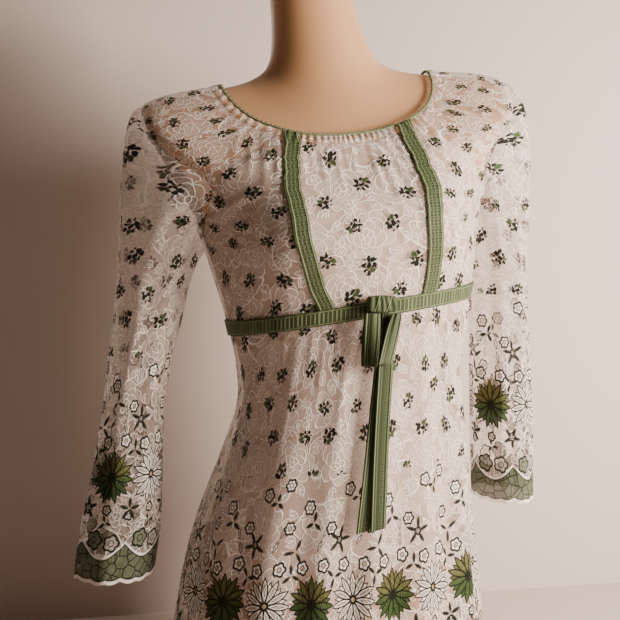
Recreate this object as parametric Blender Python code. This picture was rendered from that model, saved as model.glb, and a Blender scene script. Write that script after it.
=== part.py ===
"""Lace blouse with ribbon trims, worn by a limbless dress form that stands on its own flat base.

Metres, +Z up. The front faces -Y and the wearer's left is +X. The origin is the middle of the
form's flat underside. Tables hold centimetres and degrees, and CM turns them into metres.
"""

import math

import bmesh
import bpy
from mathutils import Vector

CM = 0.01

# Thicknesses and clearances, in centimetres
LACE_WALL = 0.12
LINING_WALL = 0.10
TRIM_WALL = 0.12
LINING_LIFT = 0.28
LINING_SEAM_LIFT = 0.37
FORM_INSET = 0.16
HOLLOW_INSET = 0.14
HOLLOW_STATION = 8.7
HOLLOW_REACH = 2.0
SKIRT_TUCK = 0.06
LACE_LIFT = 0.62
SHOULDER_LIFT = 0.26
SEAM_GAP = 0.04
TRIM_GAP = 0.04
TRIM_WIDTH = 1.6
CASING_WIDTH = 1.0
CASING_WAVES = 60
CASING_DEPTH = 0.10
EDGING_RADIUS = 0.13
SCALLOP_DEPTH = 0.35
BAND_BELOW = 0.5
BAND_GAP = 0.09
ARMHOLE_GAP = 0.045
TRIM_SHORT = 0.04
MERGE = 1e-6
FOLD_TROUGH = 0.35
FOLD_GROWTH = 1.15
SLEEVE_EASE = 0.25
HEAD_SHARE = 0.35
HEAD_FOLDS = 0.8
HEAD_SLANT = 0.13
HEAD_RISE = 0.15
HEAD_LEAST = 2.0
HEAD_BUNCH = 1.3

# The lining: its lower edge, and where its upper edge leaves the neckline, as a direction
LINING_HEM_Z = 17.5
LINING_CORNER = 45.0
LINING_DROP = 0.15
LINING_FOOT = 7.0
BACK_LINING_CORNER = 30.0
BACK_LINING_TOP = 8.4

# The form's oval arm plates
PLATE_STATION = 7.4
PLATE_REACH = 1.15
PLATE_SPREAD = 15.0
PLATE_WALL = 0.2
PLATE_GAP = 0.06
PLATE_ROUND = 0.999

# The form's sections, from the base up. Each ring passes through one side point, one front point
# and one back point: the height there, and the distance from the middle. The last number is how
# square the ring is, 2 being an ellipse.
BODY_ROWS = (
    (0.0, 13.2, 0.0, 9.6, 0.0, 10.4, 2.2),
    (9.0, 14.2, 9.0, 10.4, 9.0, 11.8, 2.2),
    (19.0, 13.5, 19.0, 10.6, 19.0, 12.1, 2.2),
    (27.5, 11.8, 27.5, 10.2, 27.5, 10.5, 2.2),
    (36.0, 10.7, 36.0, 9.0, 36.0, 8.4, 2.2),
    (44.0, 12.9, 44.0, 10.3, 44.0, 9.0, 2.2),
    (52.4, 14.6, 52.0, 9.8, 52.4, 9.9, 2.3),
    (57.5, 16.4, 55.5, 9.4, 57.0, 10.2, 2.5),
    (62.5, 18.5, 57.6, 8.9, 60.5, 10.0, 2.7),
    (66.7, 20.2, 59.3, 8.4, 63.0, 9.3, 2.9),
    (68.2, 18.0, 60.4, 8.0, 64.8, 8.6, 2.8),
    (69.0, 11.7, 61.5, 7.5, 66.8, 7.5, 2.4),
    (69.8, 8.0, 64.6, 5.9, 68.8, 6.2, 2.1),
    (71.4, 6.0, 68.8, 4.4, 71.2, 5.6, 2.0),
    (75.4, 4.9, 75.2, 3.9, 75.6, 5.1, 2.0),
    (81.0, 4.4, 81.0, 3.8, 81.0, 4.7, 2.0),
)
(BASE, THIGH, HIP, HIGH_HIP, WAIST, BAND, BUST, CHEST, PLATE, TIP, SHOULDER, NECKLINE, COLLAR,
 NECK_LOW, NECK_MID, NECK_TOP) = range(len(BODY_ROWS))

# The form's stance: a height, how far its middle lies to the wearer's left, and its sideways tilt.
STANCE_ROWS = (
    (0.0, 0.0, 0.0),
    (6.5, 0.1, 3.2),
    (19.0, 0.4, 4.6),
    (28.0, 1.3, 5.0),
    (36.0, 2.1, 7.4),
    (44.0, 2.9, 9.0),
    (51.0, 2.2, 7.6),
    (58.0, 1.4, 6.4),
    (68.0, 0.3, 6.2),
    (81.0, -1.8, 6.2),
)

BUST_X = 7.4
BUST_Z = 52.0
BUST_RISE = 2.9
BUST_SPREAD_X = 4.7
BUST_SPREAD_UP = 6.6
BUST_SPREAD_DOWN = 4.6
BUST_BRIDGE = 0.22

# Where the armhole seam runs: how far round from the side it cuts into the front and the back.
ARMHOLE_FRONT = 25.0
ARMHOLE_BACK = 22.0
ARMHOLE_POWER = 0.75
ARMHOLE_TOP = 9.4

# The front trims' middle lines, from the waist trim to the neckline: a station, then how far the
# right and the left line lie from the centre front.
TRIM_LINES = (
    (BAND, 4.5, 5.5),
    (5.4, 5.5, 6.2),
    (BUST, 6.6, 6.6),
    (7.0, 6.9, 6.8),
    (8.0, 6.8, 6.6),
    (TIP, 6.5, 6.3),
    (NECKLINE, 6.0, 5.8),
)

# The skirt's sections, from the waist seam to the hem: a height, how far the skirt reaches to the
# right, left, front and back, and how square it is.
SKIRT_ROWS = (
    (44.0, 13.5, 13.5, 10.9, 9.6, 2.2),
    (40.0, 12.3, 13.2, 11.0, 9.8, 2.2),
    (35.0, 11.5, 13.2, 11.3, 10.7, 2.2),
    (29.0, 12.6, 14.4, 11.8, 12.2, 2.2),
    (23.0, 14.2, 15.4, 12.3, 13.7, 2.2),
    (16.0, 15.5, 16.2, 12.8, 14.4, 2.2),
    (11.0, 16.2, 16.8, 13.2, 14.7, 2.2),
    (4.8, 17.1, 17.3, 13.7, 15.0, 2.2),
)

# The skirt's soft folds: direction at the waist seam and at the hem, width, and rise at the hem.
SKIRT_FOLDS = (
    (-80.0, -84.0, 9.0, 0.9),
    (-57.0, -60.0, 8.5, 1.0),
    (-36.0, -38.0, 8.0, 1.2),
    (-13.0, -15.0, 7.5, 0.9),
    (11.0, 9.0, 7.5, 0.8),
    (34.0, 31.0, 8.0, 1.0),
    (58.0, 55.0, 8.5, 1.4),
    (84.0, 82.0, 9.0, 1.0),
    (110.0, 108.0, 10.0, 1.0),
    (137.0, 136.0, 10.0, 1.1),
    (166.0, 165.0, 10.0, 0.9),
    (195.0, 196.0, 10.0, 1.2),
    (223.0, 225.0, 10.0, 1.0),
    (251.0, 252.0, 10.0, 1.1),
)

# The sleeves' sections, from under the arm to the cuff, as they hang: a height, distances of the
# outer and the inner fold from the middle of the figure, the section's middle and half its depth.
RIGHT_SLEEVE = (
    (45.5, 22.4, 14.9, 0.6, 4.7),
    (40.0, 23.1, 16.1, 0.9, 4.5),
    (34.2, 23.9, 17.2, 1.0, 4.3),
    (26.7, 25.2, 17.5, 0.8, 4.5),
    (21.3, 26.4, 17.7, 0.6, 4.8),
    (16.0, 27.1, 18.4, 0.4, 5.0),
)
LEFT_SLEEVE = (
    (49.0, 23.8, 17.4, 1.0, 4.8),
    (44.0, 24.0, 17.6, 1.2, 4.6),
    (38.0, 24.3, 17.6, 1.2, 4.4),
    (32.0, 24.5, 17.7, 1.1, 4.4),
    (27.0, 24.5, 17.8, 0.9, 4.6),
    (22.2, 24.5, 17.9, 0.8, 4.8),
)
# How far each sleeve head stands out before it turns down
RIGHT_HEAD = 8.0
LEFT_HEAD = 10.5

# A sleeve's long soft folds: direction round the sleeve, 0 being its outer side and 90 its front,
# at the shoulder and at the cuff, then width and rise.
SLEEVE_FOLDS = (
    (18.0, 30.0, 16.0, 0.40),
    (62.0, 74.0, 15.0, 0.42),
    (118.0, 112.0, 17.0, 0.34),
    (170.0, 165.0, 18.0, 0.22),
    (232.0, 228.0, 18.0, 0.30),
    (292.0, 296.0, 18.0, 0.36),
)

# The bow. Its knot sits on the waist trim, just to the wearer's left of the centre front. A loop
# has a middle, a width, a length, a sideways lean for each unit of drop, the share of its width at
# the knot and the degrees that it has turned at its lower end. A tail has its middle at the top and
# at the bottom, a width, the height of its end and how far it lies in front of the other.
BOW_X = 3.3
KNOT_SIZE = (3.2, 1.4, 1.75)
KNOT_ROUND = 0.4
LOOP_ROWS = (
    ("bow_loop_right", 2.3, 1.65, 5.2, -0.09, 0.90, 48.0),
    ("bow_loop_left", 4.75, 1.5, 5.0, -0.27, 0.60, -12.0),
)
TAIL_ROWS = (
    ("bow_tail_right", 4.2, 1.2, 1.55, 22.5, 0.0),
    ("bow_tail_left", 4.1, 2.5, 1.55, 22.7, 0.3),
)
RIBBON_WALL = 0.10
LOOP_HOLLOW = 0.25
LOOP_FALL = 0.09
BOW_TOP_Z = 43.8
BOW_ANGLE = 5.0
BOW_GAP = 0.82
KNOT_OUT = 0.92
KNOT_Z = 44.725
TAIL_TOP_Z = 43.8
TAIL_TOP_Y = -11.4
TAIL_END_Y = -13.25

# How the columns of the front and back panels are shared out
SIDE_COLUMNS = 7
TRIM_COLUMNS = 2
CENTRE_COLUMNS = 10
BACK_COLUMNS = 22
ARMHOLE_STEPS = 10
SKIRT_FRONT_COLUMNS = 30
SKIRT_BACK_COLUMNS = 22
SKIRT_STEPS = 9
SLEEVE_STEPS = 8
HEAD_STEPS = 6
LINING_COLUMNS = 20
LINING_TOP_STEPS = 8
FORM_COLUMNS = 40
CASING_POINTS = 2
CASING_STEPS = 1
EDGING_COLUMNS = 60
EDGING_SIDES = 5
BAND_STEPS = 2
TRIM_FIRST_ROW = 1
PLATE_STEPS = 8
LOOP_STEPS = 12
LOOP_COLUMNS_ACROSS = 2
TAIL_STEPS = 8
TAIL_COLUMNS_ACROSS = 2

def table_at(rows, place):
    """The row of a table at a place between its rows, on a smooth curve through them."""
    place = min(max(place, 0.0), len(rows) - 1.0)
    low = min(int(place), len(rows) - 2)
    t = place - low
    before = rows[max(low - 1, 0)]
    after = rows[min(low + 2, len(rows) - 1)]
    mixed = []
    for p0, p1, p2, p3 in zip(before, rows[low], rows[low + 1], after):
        m1 = (p2 - p0) / 2
        m2 = (p3 - p1) / 2
        mixed.append(
            p1 * (2 * t**3 - 3 * t**2 + 1)
            + m1 * (t**3 - 2 * t**2 + t)
            + p2 * (3 * t**2 - 2 * t**3)
            + m2 * (t**3 - t**2)
        )
    return mixed


def place_of(rows, value):
    """The place in a table at which its first column, which only rises or only falls, has a value."""
    sign = 1 if rows[-1][0] > rows[0][0] else -1
    for i in range(len(rows) - 1):
        a = rows[i][0] * sign
        b = rows[i + 1][0] * sign
        if value * sign <= b or i == len(rows) - 2:
            return i + min(max((value * sign - a) / (b - a), 0.0), 1.0)


def trim_lines_at(station):
    """How far the right and the left trim's middle lines lie from the centre front."""
    _, right, left = table_at(TRIM_LINES, place_of(TRIM_LINES, station))
    return right, left


def ring_radius(angle, wide, deep, square):
    """How far a rounded section reaches in a direction, 0 being its front."""
    across = abs(math.sin(angle)) / wide
    along = abs(math.cos(angle)) / deep
    return (across**square + along**square) ** (-1 / square)


def bust_rise(x, z):
    beyond = max(abs(x) - BUST_X, 0.0) / BUST_SPREAD_X
    spread = BUST_SPREAD_UP if z > BUST_Z else BUST_SPREAD_DOWN
    above = (z - BUST_Z) / spread
    inside = max(1 - (x / BUST_X) ** 2, 0.0)
    return BUST_RISE * (1 - BUST_BRIDGE * inside) * math.exp(-(beyond**2) - above**2)


def body_point(angle, station):
    """A point of the form's surface before it takes its stance. Angle 0 is the centre front."""
    side_z, half, front_z, front, back_z, back, square = table_at(BODY_ROWS, station)
    ahead = math.cos(angle) > 0
    depth, depth_z = (front, front_z) if ahead else (back, back_z)
    radius = ring_radius(angle, half, depth, square)
    x = radius * math.sin(angle)
    y = -radius * math.cos(angle)
    share = min(abs(y) / depth, 1.0)
    share = share**2 * 1.35 / (share + 0.35)
    z = side_z + (depth_z - side_z) * share
    if ahead:
        y -= bust_rise(x, z) * min(math.cos(angle) * 2.2, 1.0) ** 2
    return Vector((x, y, z))


def normal_of(surface, a, b, step_a=0.01, step_b=0.03):
    """The outward normal of a surface(a, b) whose a runs round to the wearer's left and b up."""
    across = surface(a + step_a, b) - surface(a - step_a, b)
    up = surface(a, b + step_b) - surface(a, b - step_b)
    return across.cross(up).normalized()


def stance(point):
    """A point of the upright figure, moved to where the posed form has it."""
    z, middle_x, tilt = table_at(STANCE_ROWS, place_of(STANCE_ROWS, point.z))
    tilt = math.radians(tilt)
    return Vector((middle_x + point.x * math.cos(tilt), point.y, point.z + point.x * math.sin(tilt)))


def over_body(angle, station, lift):
    station = min(station, NECK_TOP)
    return body_point(angle, station) + normal_of(body_point, angle, station) * lift


def shoulder_share(angle, station):
    """1 on top of the shoulders, falling to 0 down the chest, the back and the sides."""
    top = min(max((station - CHEST) / (TIP - CHEST), 0.0), 1.0)
    side = min(max((abs(math.sin(angle)) - 0.75) / 0.2, 0.0), 1.0)
    return top * side


def form_point(angle, station):
    """The form itself stands a little inside the figure that the cloth is cut for, and more so where
    the chest and the shoulder blades curve hollow."""
    side = min(max((abs(math.sin(angle)) - 0.85) / 0.13, 0.0), 1.0)
    hollow = max(1 - ((station - HOLLOW_STATION) / HOLLOW_REACH) ** 2, 0.0) * (1 - side)
    return over_body(angle, station, -FORM_INSET - HOLLOW_INSET * hollow)


def lace_lift(angle, station):
    """The lace rests on the top of the shoulders and stands off elsewhere, over its lining."""
    return LACE_LIFT + (SHOULDER_LIFT - LACE_LIFT) * shoulder_share(angle, station)


def lace_point(angle, station, lift=0.0):
    """A point of the worn lace, or one lifted off it."""
    return over_body(angle, station, lace_lift(angle, station) + lift)


def top_station(angle):
    """The station at which the bodice ends, a casing's width below the neckline."""
    near = NECKLINE - 0.12
    speed = (body_point(angle, NECKLINE) - body_point(angle, near)).length / (NECKLINE - near)
    guess = CASING_WIDTH / speed
    for _ in range(4):
        span = (body_point(angle, NECKLINE) - body_point(angle, NECKLINE - guess)).length
        guess *= CASING_WIDTH / span
    return NECKLINE - guess


def armhole_share(station):
    if not BUST < station < ARMHOLE_TOP:
        return 0.0
    return math.sin(math.pi * (station - BUST) / (ARMHOLE_TOP - BUST)) ** ARMHOLE_POWER


def side_angle(station, cut):
    """Where a panel ends at the side: at the side seam, or at the armhole's edge."""
    return math.radians(90 - cut * armhole_share(station))


def armhole_station(k):
    """The station of one of the steps from the armhole's lowest point to its highest."""
    share = k / ARMHOLE_STEPS
    eased = (1 - math.cos(math.pi * share)) / 2
    return BUST + (ARMHOLE_TOP - BUST) * (share + eased) / 2


def panel_stations():
    """The bodice's rows, as stations: the waist trim's width, then up to the neckline."""
    low = [BAND, BAND + 0.16, BAND + 0.42, BAND + 0.7]
    arm = [armhole_station(k) for k in range(ARMHOLE_STEPS + 1)]
    return low + arm + [10.0, 10.5, NECKLINE]


def bodice_station(angle, station):
    """Squeezes the rows so that the last one lies at the casing's lower edge."""
    share = (station - BAND) / (NECKLINE - BAND)
    return BAND + share * (top_station(angle) - BAND)


def angle_at(distance, station):
    """The direction in which the section at a station lies a given distance from the middle."""
    low, high = 0.0, math.pi / 2
    for _ in range(30):
        mid = (low + high) / 2
        if body_point(mid, station).x < distance:
            low = mid
        else:
            high = mid
    return low


def spread_between(start, end, steps):
    return [start + (end - start) * k / steps for k in range(steps)]


def front_angles(station):
    """The front panel's columns, with the trims' edges among them."""
    edge = side_angle(station, ARMHOLE_FRONT) - seam_angle(station)
    halves = []
    for middle in trim_lines_at(station):
        outer = angle_at(middle + TRIM_WIDTH / 2, station)
        inner = angle_at(middle - TRIM_WIDTH / 2, station)
        trim = spread_between(inner, outer, TRIM_COLUMNS)
        halves.append(trim + spread_between(outer, edge, SIDE_COLUMNS) + [edge])
    right, left = halves
    centre = spread_between(-right[0], left[0], CENTRE_COLUMNS)[1:]
    return [-a for a in reversed(right)] + centre + left


def back_angles(station):
    edge = side_angle(station, ARMHOLE_BACK) - seam_angle(station)
    start = math.pi - edge
    return spread_between(start, 2 * math.pi - start, BACK_COLUMNS) + [2 * math.pi - start]


def seam_angle(station):
    return SEAM_GAP / 2 / table_at(BODY_ROWS, station)[1]


def front_bodice_point(column, row, lift=0.0):
    station = panel_stations()[row]
    angle = front_angles(station)[column]
    return lace_point(angle, bodice_station(angle, station), lift)


def back_bodice_point(column, row, lift=0.0):
    station = panel_stations()[row]
    angle = back_angles(station)[column]
    return lace_point(angle, bodice_station(angle, station), lift)


def skirt_share(z):
    top = SKIRT_ROWS[0][0]
    return (top - z) / (top - SKIRT_ROWS[-1][0])


def skirt_fold(angle, share):
    """How far the folds push the skirt out in a direction, at a share of its drop."""
    total = 0.0
    for top_angle, hem_angle, width, rise in SKIRT_FOLDS:
        middle = top_angle + (hem_angle - top_angle) * share
        away = (math.degrees(angle) - middle + 180) % 360 - 180
        total += rise * math.exp(-((away / width) ** 2))
    return (total - FOLD_TROUGH) * min(share * FOLD_GROWTH, 1.0)


def skirt_point(angle, z, lift=0.0):
    _, right, left, front, back, square = table_at(SKIRT_ROWS, place_of(SKIRT_ROWS, z))
    wide = left if math.sin(angle) > 0 else right
    deep = front if math.cos(angle) > 0 else back
    radius = ring_radius(angle, wide, deep, square) + skirt_fold(angle, skirt_share(z)) + lift
    return Vector((radius * math.sin(angle), -radius * math.cos(angle), z))


def skirt_heights():
    """The skirt's rows from the hem up, the last two behind the waist trim."""
    top = SKIRT_ROWS[0][0] - SEAM_GAP
    first = top - BAND_BELOW
    hem = SKIRT_ROWS[-1][0]
    return [hem + (first - hem) * k / SKIRT_STEPS for k in range(SKIRT_STEPS + 1)] + [top]


def station_at(z):
    """The station of one of the form's level sections."""
    levels = [row[0] for row in BODY_ROWS[: BUST + 1]]
    return place_of([(level,) for level in levels], z)


def waist_point(angle, z, lift=0.0):
    return lace_point(angle, station_at(z), lift)


def skirt_panel_point(start, end, columns, column, row, lift):
    angle = start + (end - start) * column / columns
    z = skirt_heights()[row]
    if row >= SKIRT_STEPS:
        return waist_point(angle, z, lift - SKIRT_TUCK)
    point = skirt_point(angle, z, lift)
    if row == 0 and column % 2:
        point.z += SCALLOP_DEPTH
    return point


def skirt_front_point(column, row, lift=0.0):
    edge = math.pi / 2 - seam_angle(BAND)
    return skirt_panel_point(-edge, edge, SKIRT_FRONT_COLUMNS, column, row, lift)


def skirt_back_point(column, row, lift=0.0):
    edge = math.pi / 2 + seam_angle(BAND)
    return skirt_panel_point(edge, 2 * math.pi - edge, SKIRT_BACK_COLUMNS, column, row, lift)


def armhole_loop():
    """The left armhole's edge from the shoulder tip, down its front and up its back."""
    loop = []
    for k in range(2 * ARMHOLE_STEPS):
        down = min(k, 2 * ARMHOLE_STEPS - k)
        station = armhole_station(ARMHOLE_STEPS - down)
        front = k <= ARMHOLE_STEPS
        cut = ARMHOLE_FRONT if front else ARMHOLE_BACK
        side = side_angle(station, cut)
        angle = side if front else math.pi - side
        loop.append(lace_point(angle, bodice_station(angle, station), ARMHOLE_GAP))
    centre = sum(loop, Vector()) / len(loop)
    return [point + (centre - point).normalized() * ARMHOLE_GAP for point in loop]


def sleeve_fold(turn, share):
    total = 0.0
    for top_angle, cuff_angle, width, rise in SLEEVE_FOLDS:
        middle = top_angle + (cuff_angle - top_angle) * share
        away = (math.degrees(turn) - middle + 180) % 360 - 180
        total += rise * math.exp(-((away / width) ** 2))
    return total


def sleeve_section(side, rows, turn, z, share):
    """A point of a sleeve below its head, in the stance. Turn 0 is its outer side, 90 degrees its front."""
    _, outer, inner, middle_y, half_deep = table_at(rows, place_of(rows, z))
    fold = sleeve_fold(turn, share)
    half_wide = (outer - inner) / 2 - SLEEVE_EASE + fold * abs(math.cos(turn))
    deep = half_deep - SLEEVE_EASE + fold
    x = (outer + inner) / 2 + half_wide * math.cos(turn)
    return Vector((side * x, middle_y - deep * math.sin(turn), z))


def sleeve_point(side, rows, head, loop, column, row):
    """Rows run from the armhole down to the cuff. Columns run round from the outer side by the front."""
    turn = 2 * math.pi * column / len(loop)
    top_z = rows[0][0]
    if row <= HEAD_STEPS:
        start = loop[column].copy()
        start.x *= side
        start = stance(start)
        end = sleeve_section(side, rows, turn, top_z, HEAD_SHARE)
        span = (end - start).length
        reach = HEAD_LEAST + (head - HEAD_LEAST) * max(math.cos(turn), 0.0) ** 2
        leave = Vector((side, 0, HEAD_RISE)) * reach
        arrive = Vector((side * HEAD_SLANT, 0, -1)) * span * 0.9
        t = (row / HEAD_STEPS) ** HEAD_BUNCH
        point = start * (2 * t**3 - 3 * t**2 + 1) + leave * (t**3 - 2 * t**2 + t)
        point += end * (3 * t**2 - 2 * t**3) + arrive * (t**3 - t**2)
        bulge = sleeve_fold(turn, t * HEAD_SHARE) * 4 * t * (1 - t) * HEAD_FOLDS
        return point + Vector((side * math.cos(turn), -math.sin(turn), 0)) * bulge
    down = (row - HEAD_STEPS) / SLEEVE_STEPS
    cuff_z = rows[-1][0]
    share = HEAD_SHARE + (1 - HEAD_SHARE) * down
    point = sleeve_section(side, rows, turn, top_z + (cuff_z - top_z) * down, share)
    if row == HEAD_STEPS + SLEEVE_STEPS and column % 2:
        point.z += SCALLOP_DEPTH
    return point


def lining_top(angle):
    """The lining reaches the neckline between the trims, and falls from there to the armholes."""
    away = abs((math.degrees(angle) + 180) % 360 - 180)
    if away > 90:
        away = 180 - away
        corner, high, cut = BACK_LINING_CORNER, BACK_LINING_TOP, ARMHOLE_BACK
    else:
        corner, high, cut = LINING_CORNER, top_station(angle), ARMHOLE_FRONT
    foot = 90 - cut
    fall = min(max(away - corner, 0.0) / (foot - corner), 1.0)
    edge = high + (LINING_FOOT - high) * fall
    if away <= foot:
        return edge
    turn = math.asin(min(((90 - away) / cut) ** (1 / ARMHOLE_POWER), 1.0))
    return min(edge, BUST + (ARMHOLE_TOP - BUST) * turn / math.pi - LINING_DROP)


def lining_stations(angle):
    """The lining's rows: level ones up to the bust, then even steps to its sloping top."""
    level = [station_at(LINING_HEM_Z), 2.5, HIGH_HIP, 3.5, WAIST, 4.5, BAND, BAND + 0.42]
    first = BAND + 0.7
    rise = lining_top(angle) - first
    return level + [first + rise * k / LINING_TOP_STEPS for k in range(LINING_TOP_STEPS + 1)]


def lining_point(start, end, column, row, lift):
    """The lining stands nearer the lace at the waist seam, where it is sewn to it."""
    angle = start + (end - start) * column / LINING_COLUMNS
    stations = lining_stations(angle)
    sewn = stations[row] == BAND
    return over_body(angle, stations[row], (LINING_SEAM_LIFT if sewn else LINING_LIFT) + lift)


def trim_point(first_column, column, row, lift):
    """The trim's points are the front panel's own, moved out. Its last row lies over the casing."""
    rows = len(panel_stations())
    over = TRIM_GAP + TRIM_WALL + lift
    panel_row = row + TRIM_FIRST_ROW
    if panel_row < rows - 1:
        return front_bodice_point(first_column + column, panel_row, over)
    if panel_row == rows - 1:
        return front_bodice_point(first_column + column, panel_row, over + CASING_DEPTH)
    angle = front_angles(NECKLINE)[first_column + column]
    return lace_point(angle, NECKLINE - TRIM_SHORT, over + CASING_DEPTH)


def panel_angles(station):
    """The front panel's columns, then the back panel's."""
    return front_angles(station) + back_angles(station)


def band_point(column, row, lift):
    """The waist trim's points follow the front and back panels' columns, over their lowest rows."""
    low = SKIRT_ROWS[0][0] - BAND_BELOW
    z = low + TRIM_WIDTH * row / BAND_STEPS
    return waist_point(panel_angles(BAND)[column], z, BAND_GAP + TRIM_WALL + lift)


def panels_top(angle, lift):
    """A point on the straight stretches of the panels' upper edge."""
    angles = panel_angles(NECKLINE)
    angles.append(angles[0] + 2 * math.pi)
    if angle < angles[0]:
        angle += 2 * math.pi
    after = next(k for k, a in enumerate(angles) if a >= angle and k > 0)
    low, high = angles[after - 1], angles[after]
    share = (angle - low) / (high - low)
    ends = [lace_point(a, top_station(a), lift) for a in (low, high)]
    return ends[0].lerp(ends[1], share)


def casing_point(column, row, lift):
    """The gathered casing round the neck, from the panels' upper edge to the neckline."""
    angle = 2 * math.pi * column / (CASING_WAVES * CASING_POINTS) - math.pi
    wave = CASING_DEPTH if column % CASING_POINTS == 0 else 0.0
    low = panels_top(angle, lift + wave)
    high = lace_point(angle, NECKLINE, lift + wave)
    seam = SEAM_GAP / CASING_WIDTH
    return low.lerp(high, seam + (1 - seam) * row / CASING_STEPS)


def edging_point(column, row):
    """A cord round the neckline, lying on the casing's edge."""
    angle = 2 * math.pi * column / EDGING_COLUMNS
    turn = 2 * math.pi * row / EDGING_SIDES
    rise = (lace_point(angle, NECKLINE) - lace_point(angle, NECKLINE - 0.1)).normalized()
    out = normal_of(body_point, angle, NECKLINE)
    middle = lace_point(angle, NECKLINE) + rise * (EDGING_RADIUS + SEAM_GAP) - out * (LACE_WALL / 2)
    return middle + (out * math.cos(turn) + rise * math.sin(turn)) * EDGING_RADIUS


def plate_point(side, u, v, lift):
    """A point of an arm plate: an oval drawn on the form's side, where its arm would start."""
    along = u * math.sqrt(1 - v * v / 2) * PLATE_ROUND
    up = v * math.sqrt(1 - u * u / 2) * PLATE_ROUND
    angle = side * math.pi / 2 + along * math.radians(PLATE_SPREAD)
    station = PLATE_STATION + up * PLATE_REACH
    return over_body(angle, station, PLATE_WALL + PLATE_GAP - FORM_INSET + lift)


def clear_scene():
    for obj in list(bpy.data.objects):
        bpy.data.objects.remove(obj)


def material(name, colour, roughness):
    made = bpy.data.materials.new(name)
    made.use_nodes = True
    shader = made.node_tree.nodes["Principled BSDF"]
    shader.inputs["Base Color"].default_value = (*colour, 1.0)
    shader.inputs["Roughness"].default_value = roughness
    shader.inputs["Metallic"].default_value = 0.0
    return made


def add_object(name, bm, finish):
    mesh = bpy.data.meshes.new(name)
    bm.to_mesh(mesh)
    bm.free()
    mesh.materials.append(finish)
    mesh.shade_smooth()
    mesh.set_sharp_from_angle(angle=math.radians(50))
    obj = bpy.data.objects.new(name, mesh)
    bpy.context.scene.collection.objects.link(obj)
    return obj


def grid_mesh(columns, rows, place, round_columns=False, round_rows=False):
    """A bmesh grid whose points are placed by place(column, row), closed round where it is asked.
    Each point keeps its column and row. Each square is cut along its shorter diagonal before any
    thickness is added, so that the two faces of a wall stay parallel."""
    bm = bmesh.new()
    bmesh.ops.create_grid(bm, x_segments=columns, y_segments=rows, size=0.5)
    column_of = bm.verts.layers.int.new("column")
    row_of = bm.verts.layers.int.new("row")
    for vert in bm.verts:
        column = round((vert.co.x + 0.5) * columns)
        row = round((vert.co.y + 0.5) * rows)
        vert[column_of] = column % columns if round_columns else column
        vert[row_of] = row % rows if round_rows else row
        vert.co = place(vert[column_of], vert[row_of]) * CM
    if round_columns or round_rows:
        bmesh.ops.remove_doubles(bm, verts=bm.verts, dist=MERGE)
    bmesh.ops.triangulate(bm, faces=bm.faces, quad_method="SHORT_EDGE")
    return bm


def cloth(name, columns, rows, point, finish, wall, closed=False):
    """Cloth whose outer face runs through point(column, row), with its thickness inwards."""
    obj = add_object(name, grid_mesh(columns, rows, point, round_columns=closed), finish)
    solid = obj.modifiers.new("wall", "SOLIDIFY")
    solid.thickness = wall * CM
    solid.offset = -1.0
    return obj


def panel(name, columns, rows, point, finish, wall, closed=False):
    """A worn panel: its outer face runs through point(column, row, 0) and its inner one through
    point(column, row, -wall), so that the edges of neighbouring panels stay parallel."""

    def outer(column, row):
        return stance(point(column, row, 0.0))

    bm = grid_mesh(columns, rows, outer, round_columns=closed)
    column_of = bm.verts.layers.int["column"]
    row_of = bm.verts.layers.int["row"]
    made = bmesh.ops.extrude_face_region(bm, geom=bm.faces[:], use_keep_orig=True)
    for item in made["geom"]:
        if isinstance(item, bmesh.types.BMVert):
            item.co = stance(point(item[column_of], item[row_of], -wall)) * CM
    bmesh.ops.recalc_face_normals(bm, faces=bm.faces)
    return add_object(name, bm, finish)


def build_form(finish, plate_finish):
    level = [BASE, THIGH, HIP, 2.5, HIGH_HIP, 3.5, WAIST, 4.5]
    neck = [COLLAR, NECK_LOW, NECK_MID, NECK_TOP]
    stations = level + panel_stations() + neck

    def body(column, row):
        return stance(form_point(2 * math.pi * column / FORM_COLUMNS, stations[row]))

    bm = grid_mesh(FORM_COLUMNS, len(stations) - 1, body, round_columns=True)
    bmesh.ops.holes_fill(bm, edges=bm.edges, sides=FORM_COLUMNS)
    add_object("dress_form", bm, finish)

    for name, side in (("arm_plate_right", -1), ("arm_plate_left", 1)):

        def plate(column, row, lift, side=side):
            return plate_point(side, 2 * column / PLATE_STEPS - 1, 2 * row / PLATE_STEPS - 1, lift)

        panel(name, PLATE_STEPS, PLATE_STEPS, plate, plate_finish, PLATE_WALL)


def build_bodice(finish):
    rows = len(panel_stations()) - 1
    columns = 2 * (SIDE_COLUMNS + TRIM_COLUMNS) + CENTRE_COLUMNS
    panel("bodice_front", columns, rows, front_bodice_point, finish, LACE_WALL)
    panel("bodice_back", BACK_COLUMNS, rows, back_bodice_point, finish, LACE_WALL)


def build_skirt(finish):
    rows = SKIRT_STEPS + 1
    panel("skirt_front", SKIRT_FRONT_COLUMNS, rows, skirt_front_point, finish, LACE_WALL)
    panel("skirt_back", SKIRT_BACK_COLUMNS, rows, skirt_back_point, finish, LACE_WALL)


def build_sleeves(finish):
    loop = armhole_loop()
    around = len(loop)
    rows = HEAD_STEPS + SLEEVE_STEPS

    def right(column, row):
        return sleeve_point(-1, RIGHT_SLEEVE, RIGHT_HEAD, loop, (around - column) % around, row)

    def left(column, row):
        return sleeve_point(1, LEFT_SLEEVE, LEFT_HEAD, loop, column, row)

    cloth("sleeve_right", around, rows, right, finish, LACE_WALL, closed=True)
    cloth("sleeve_left", around, rows, left, finish, LACE_WALL, closed=True)


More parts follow.
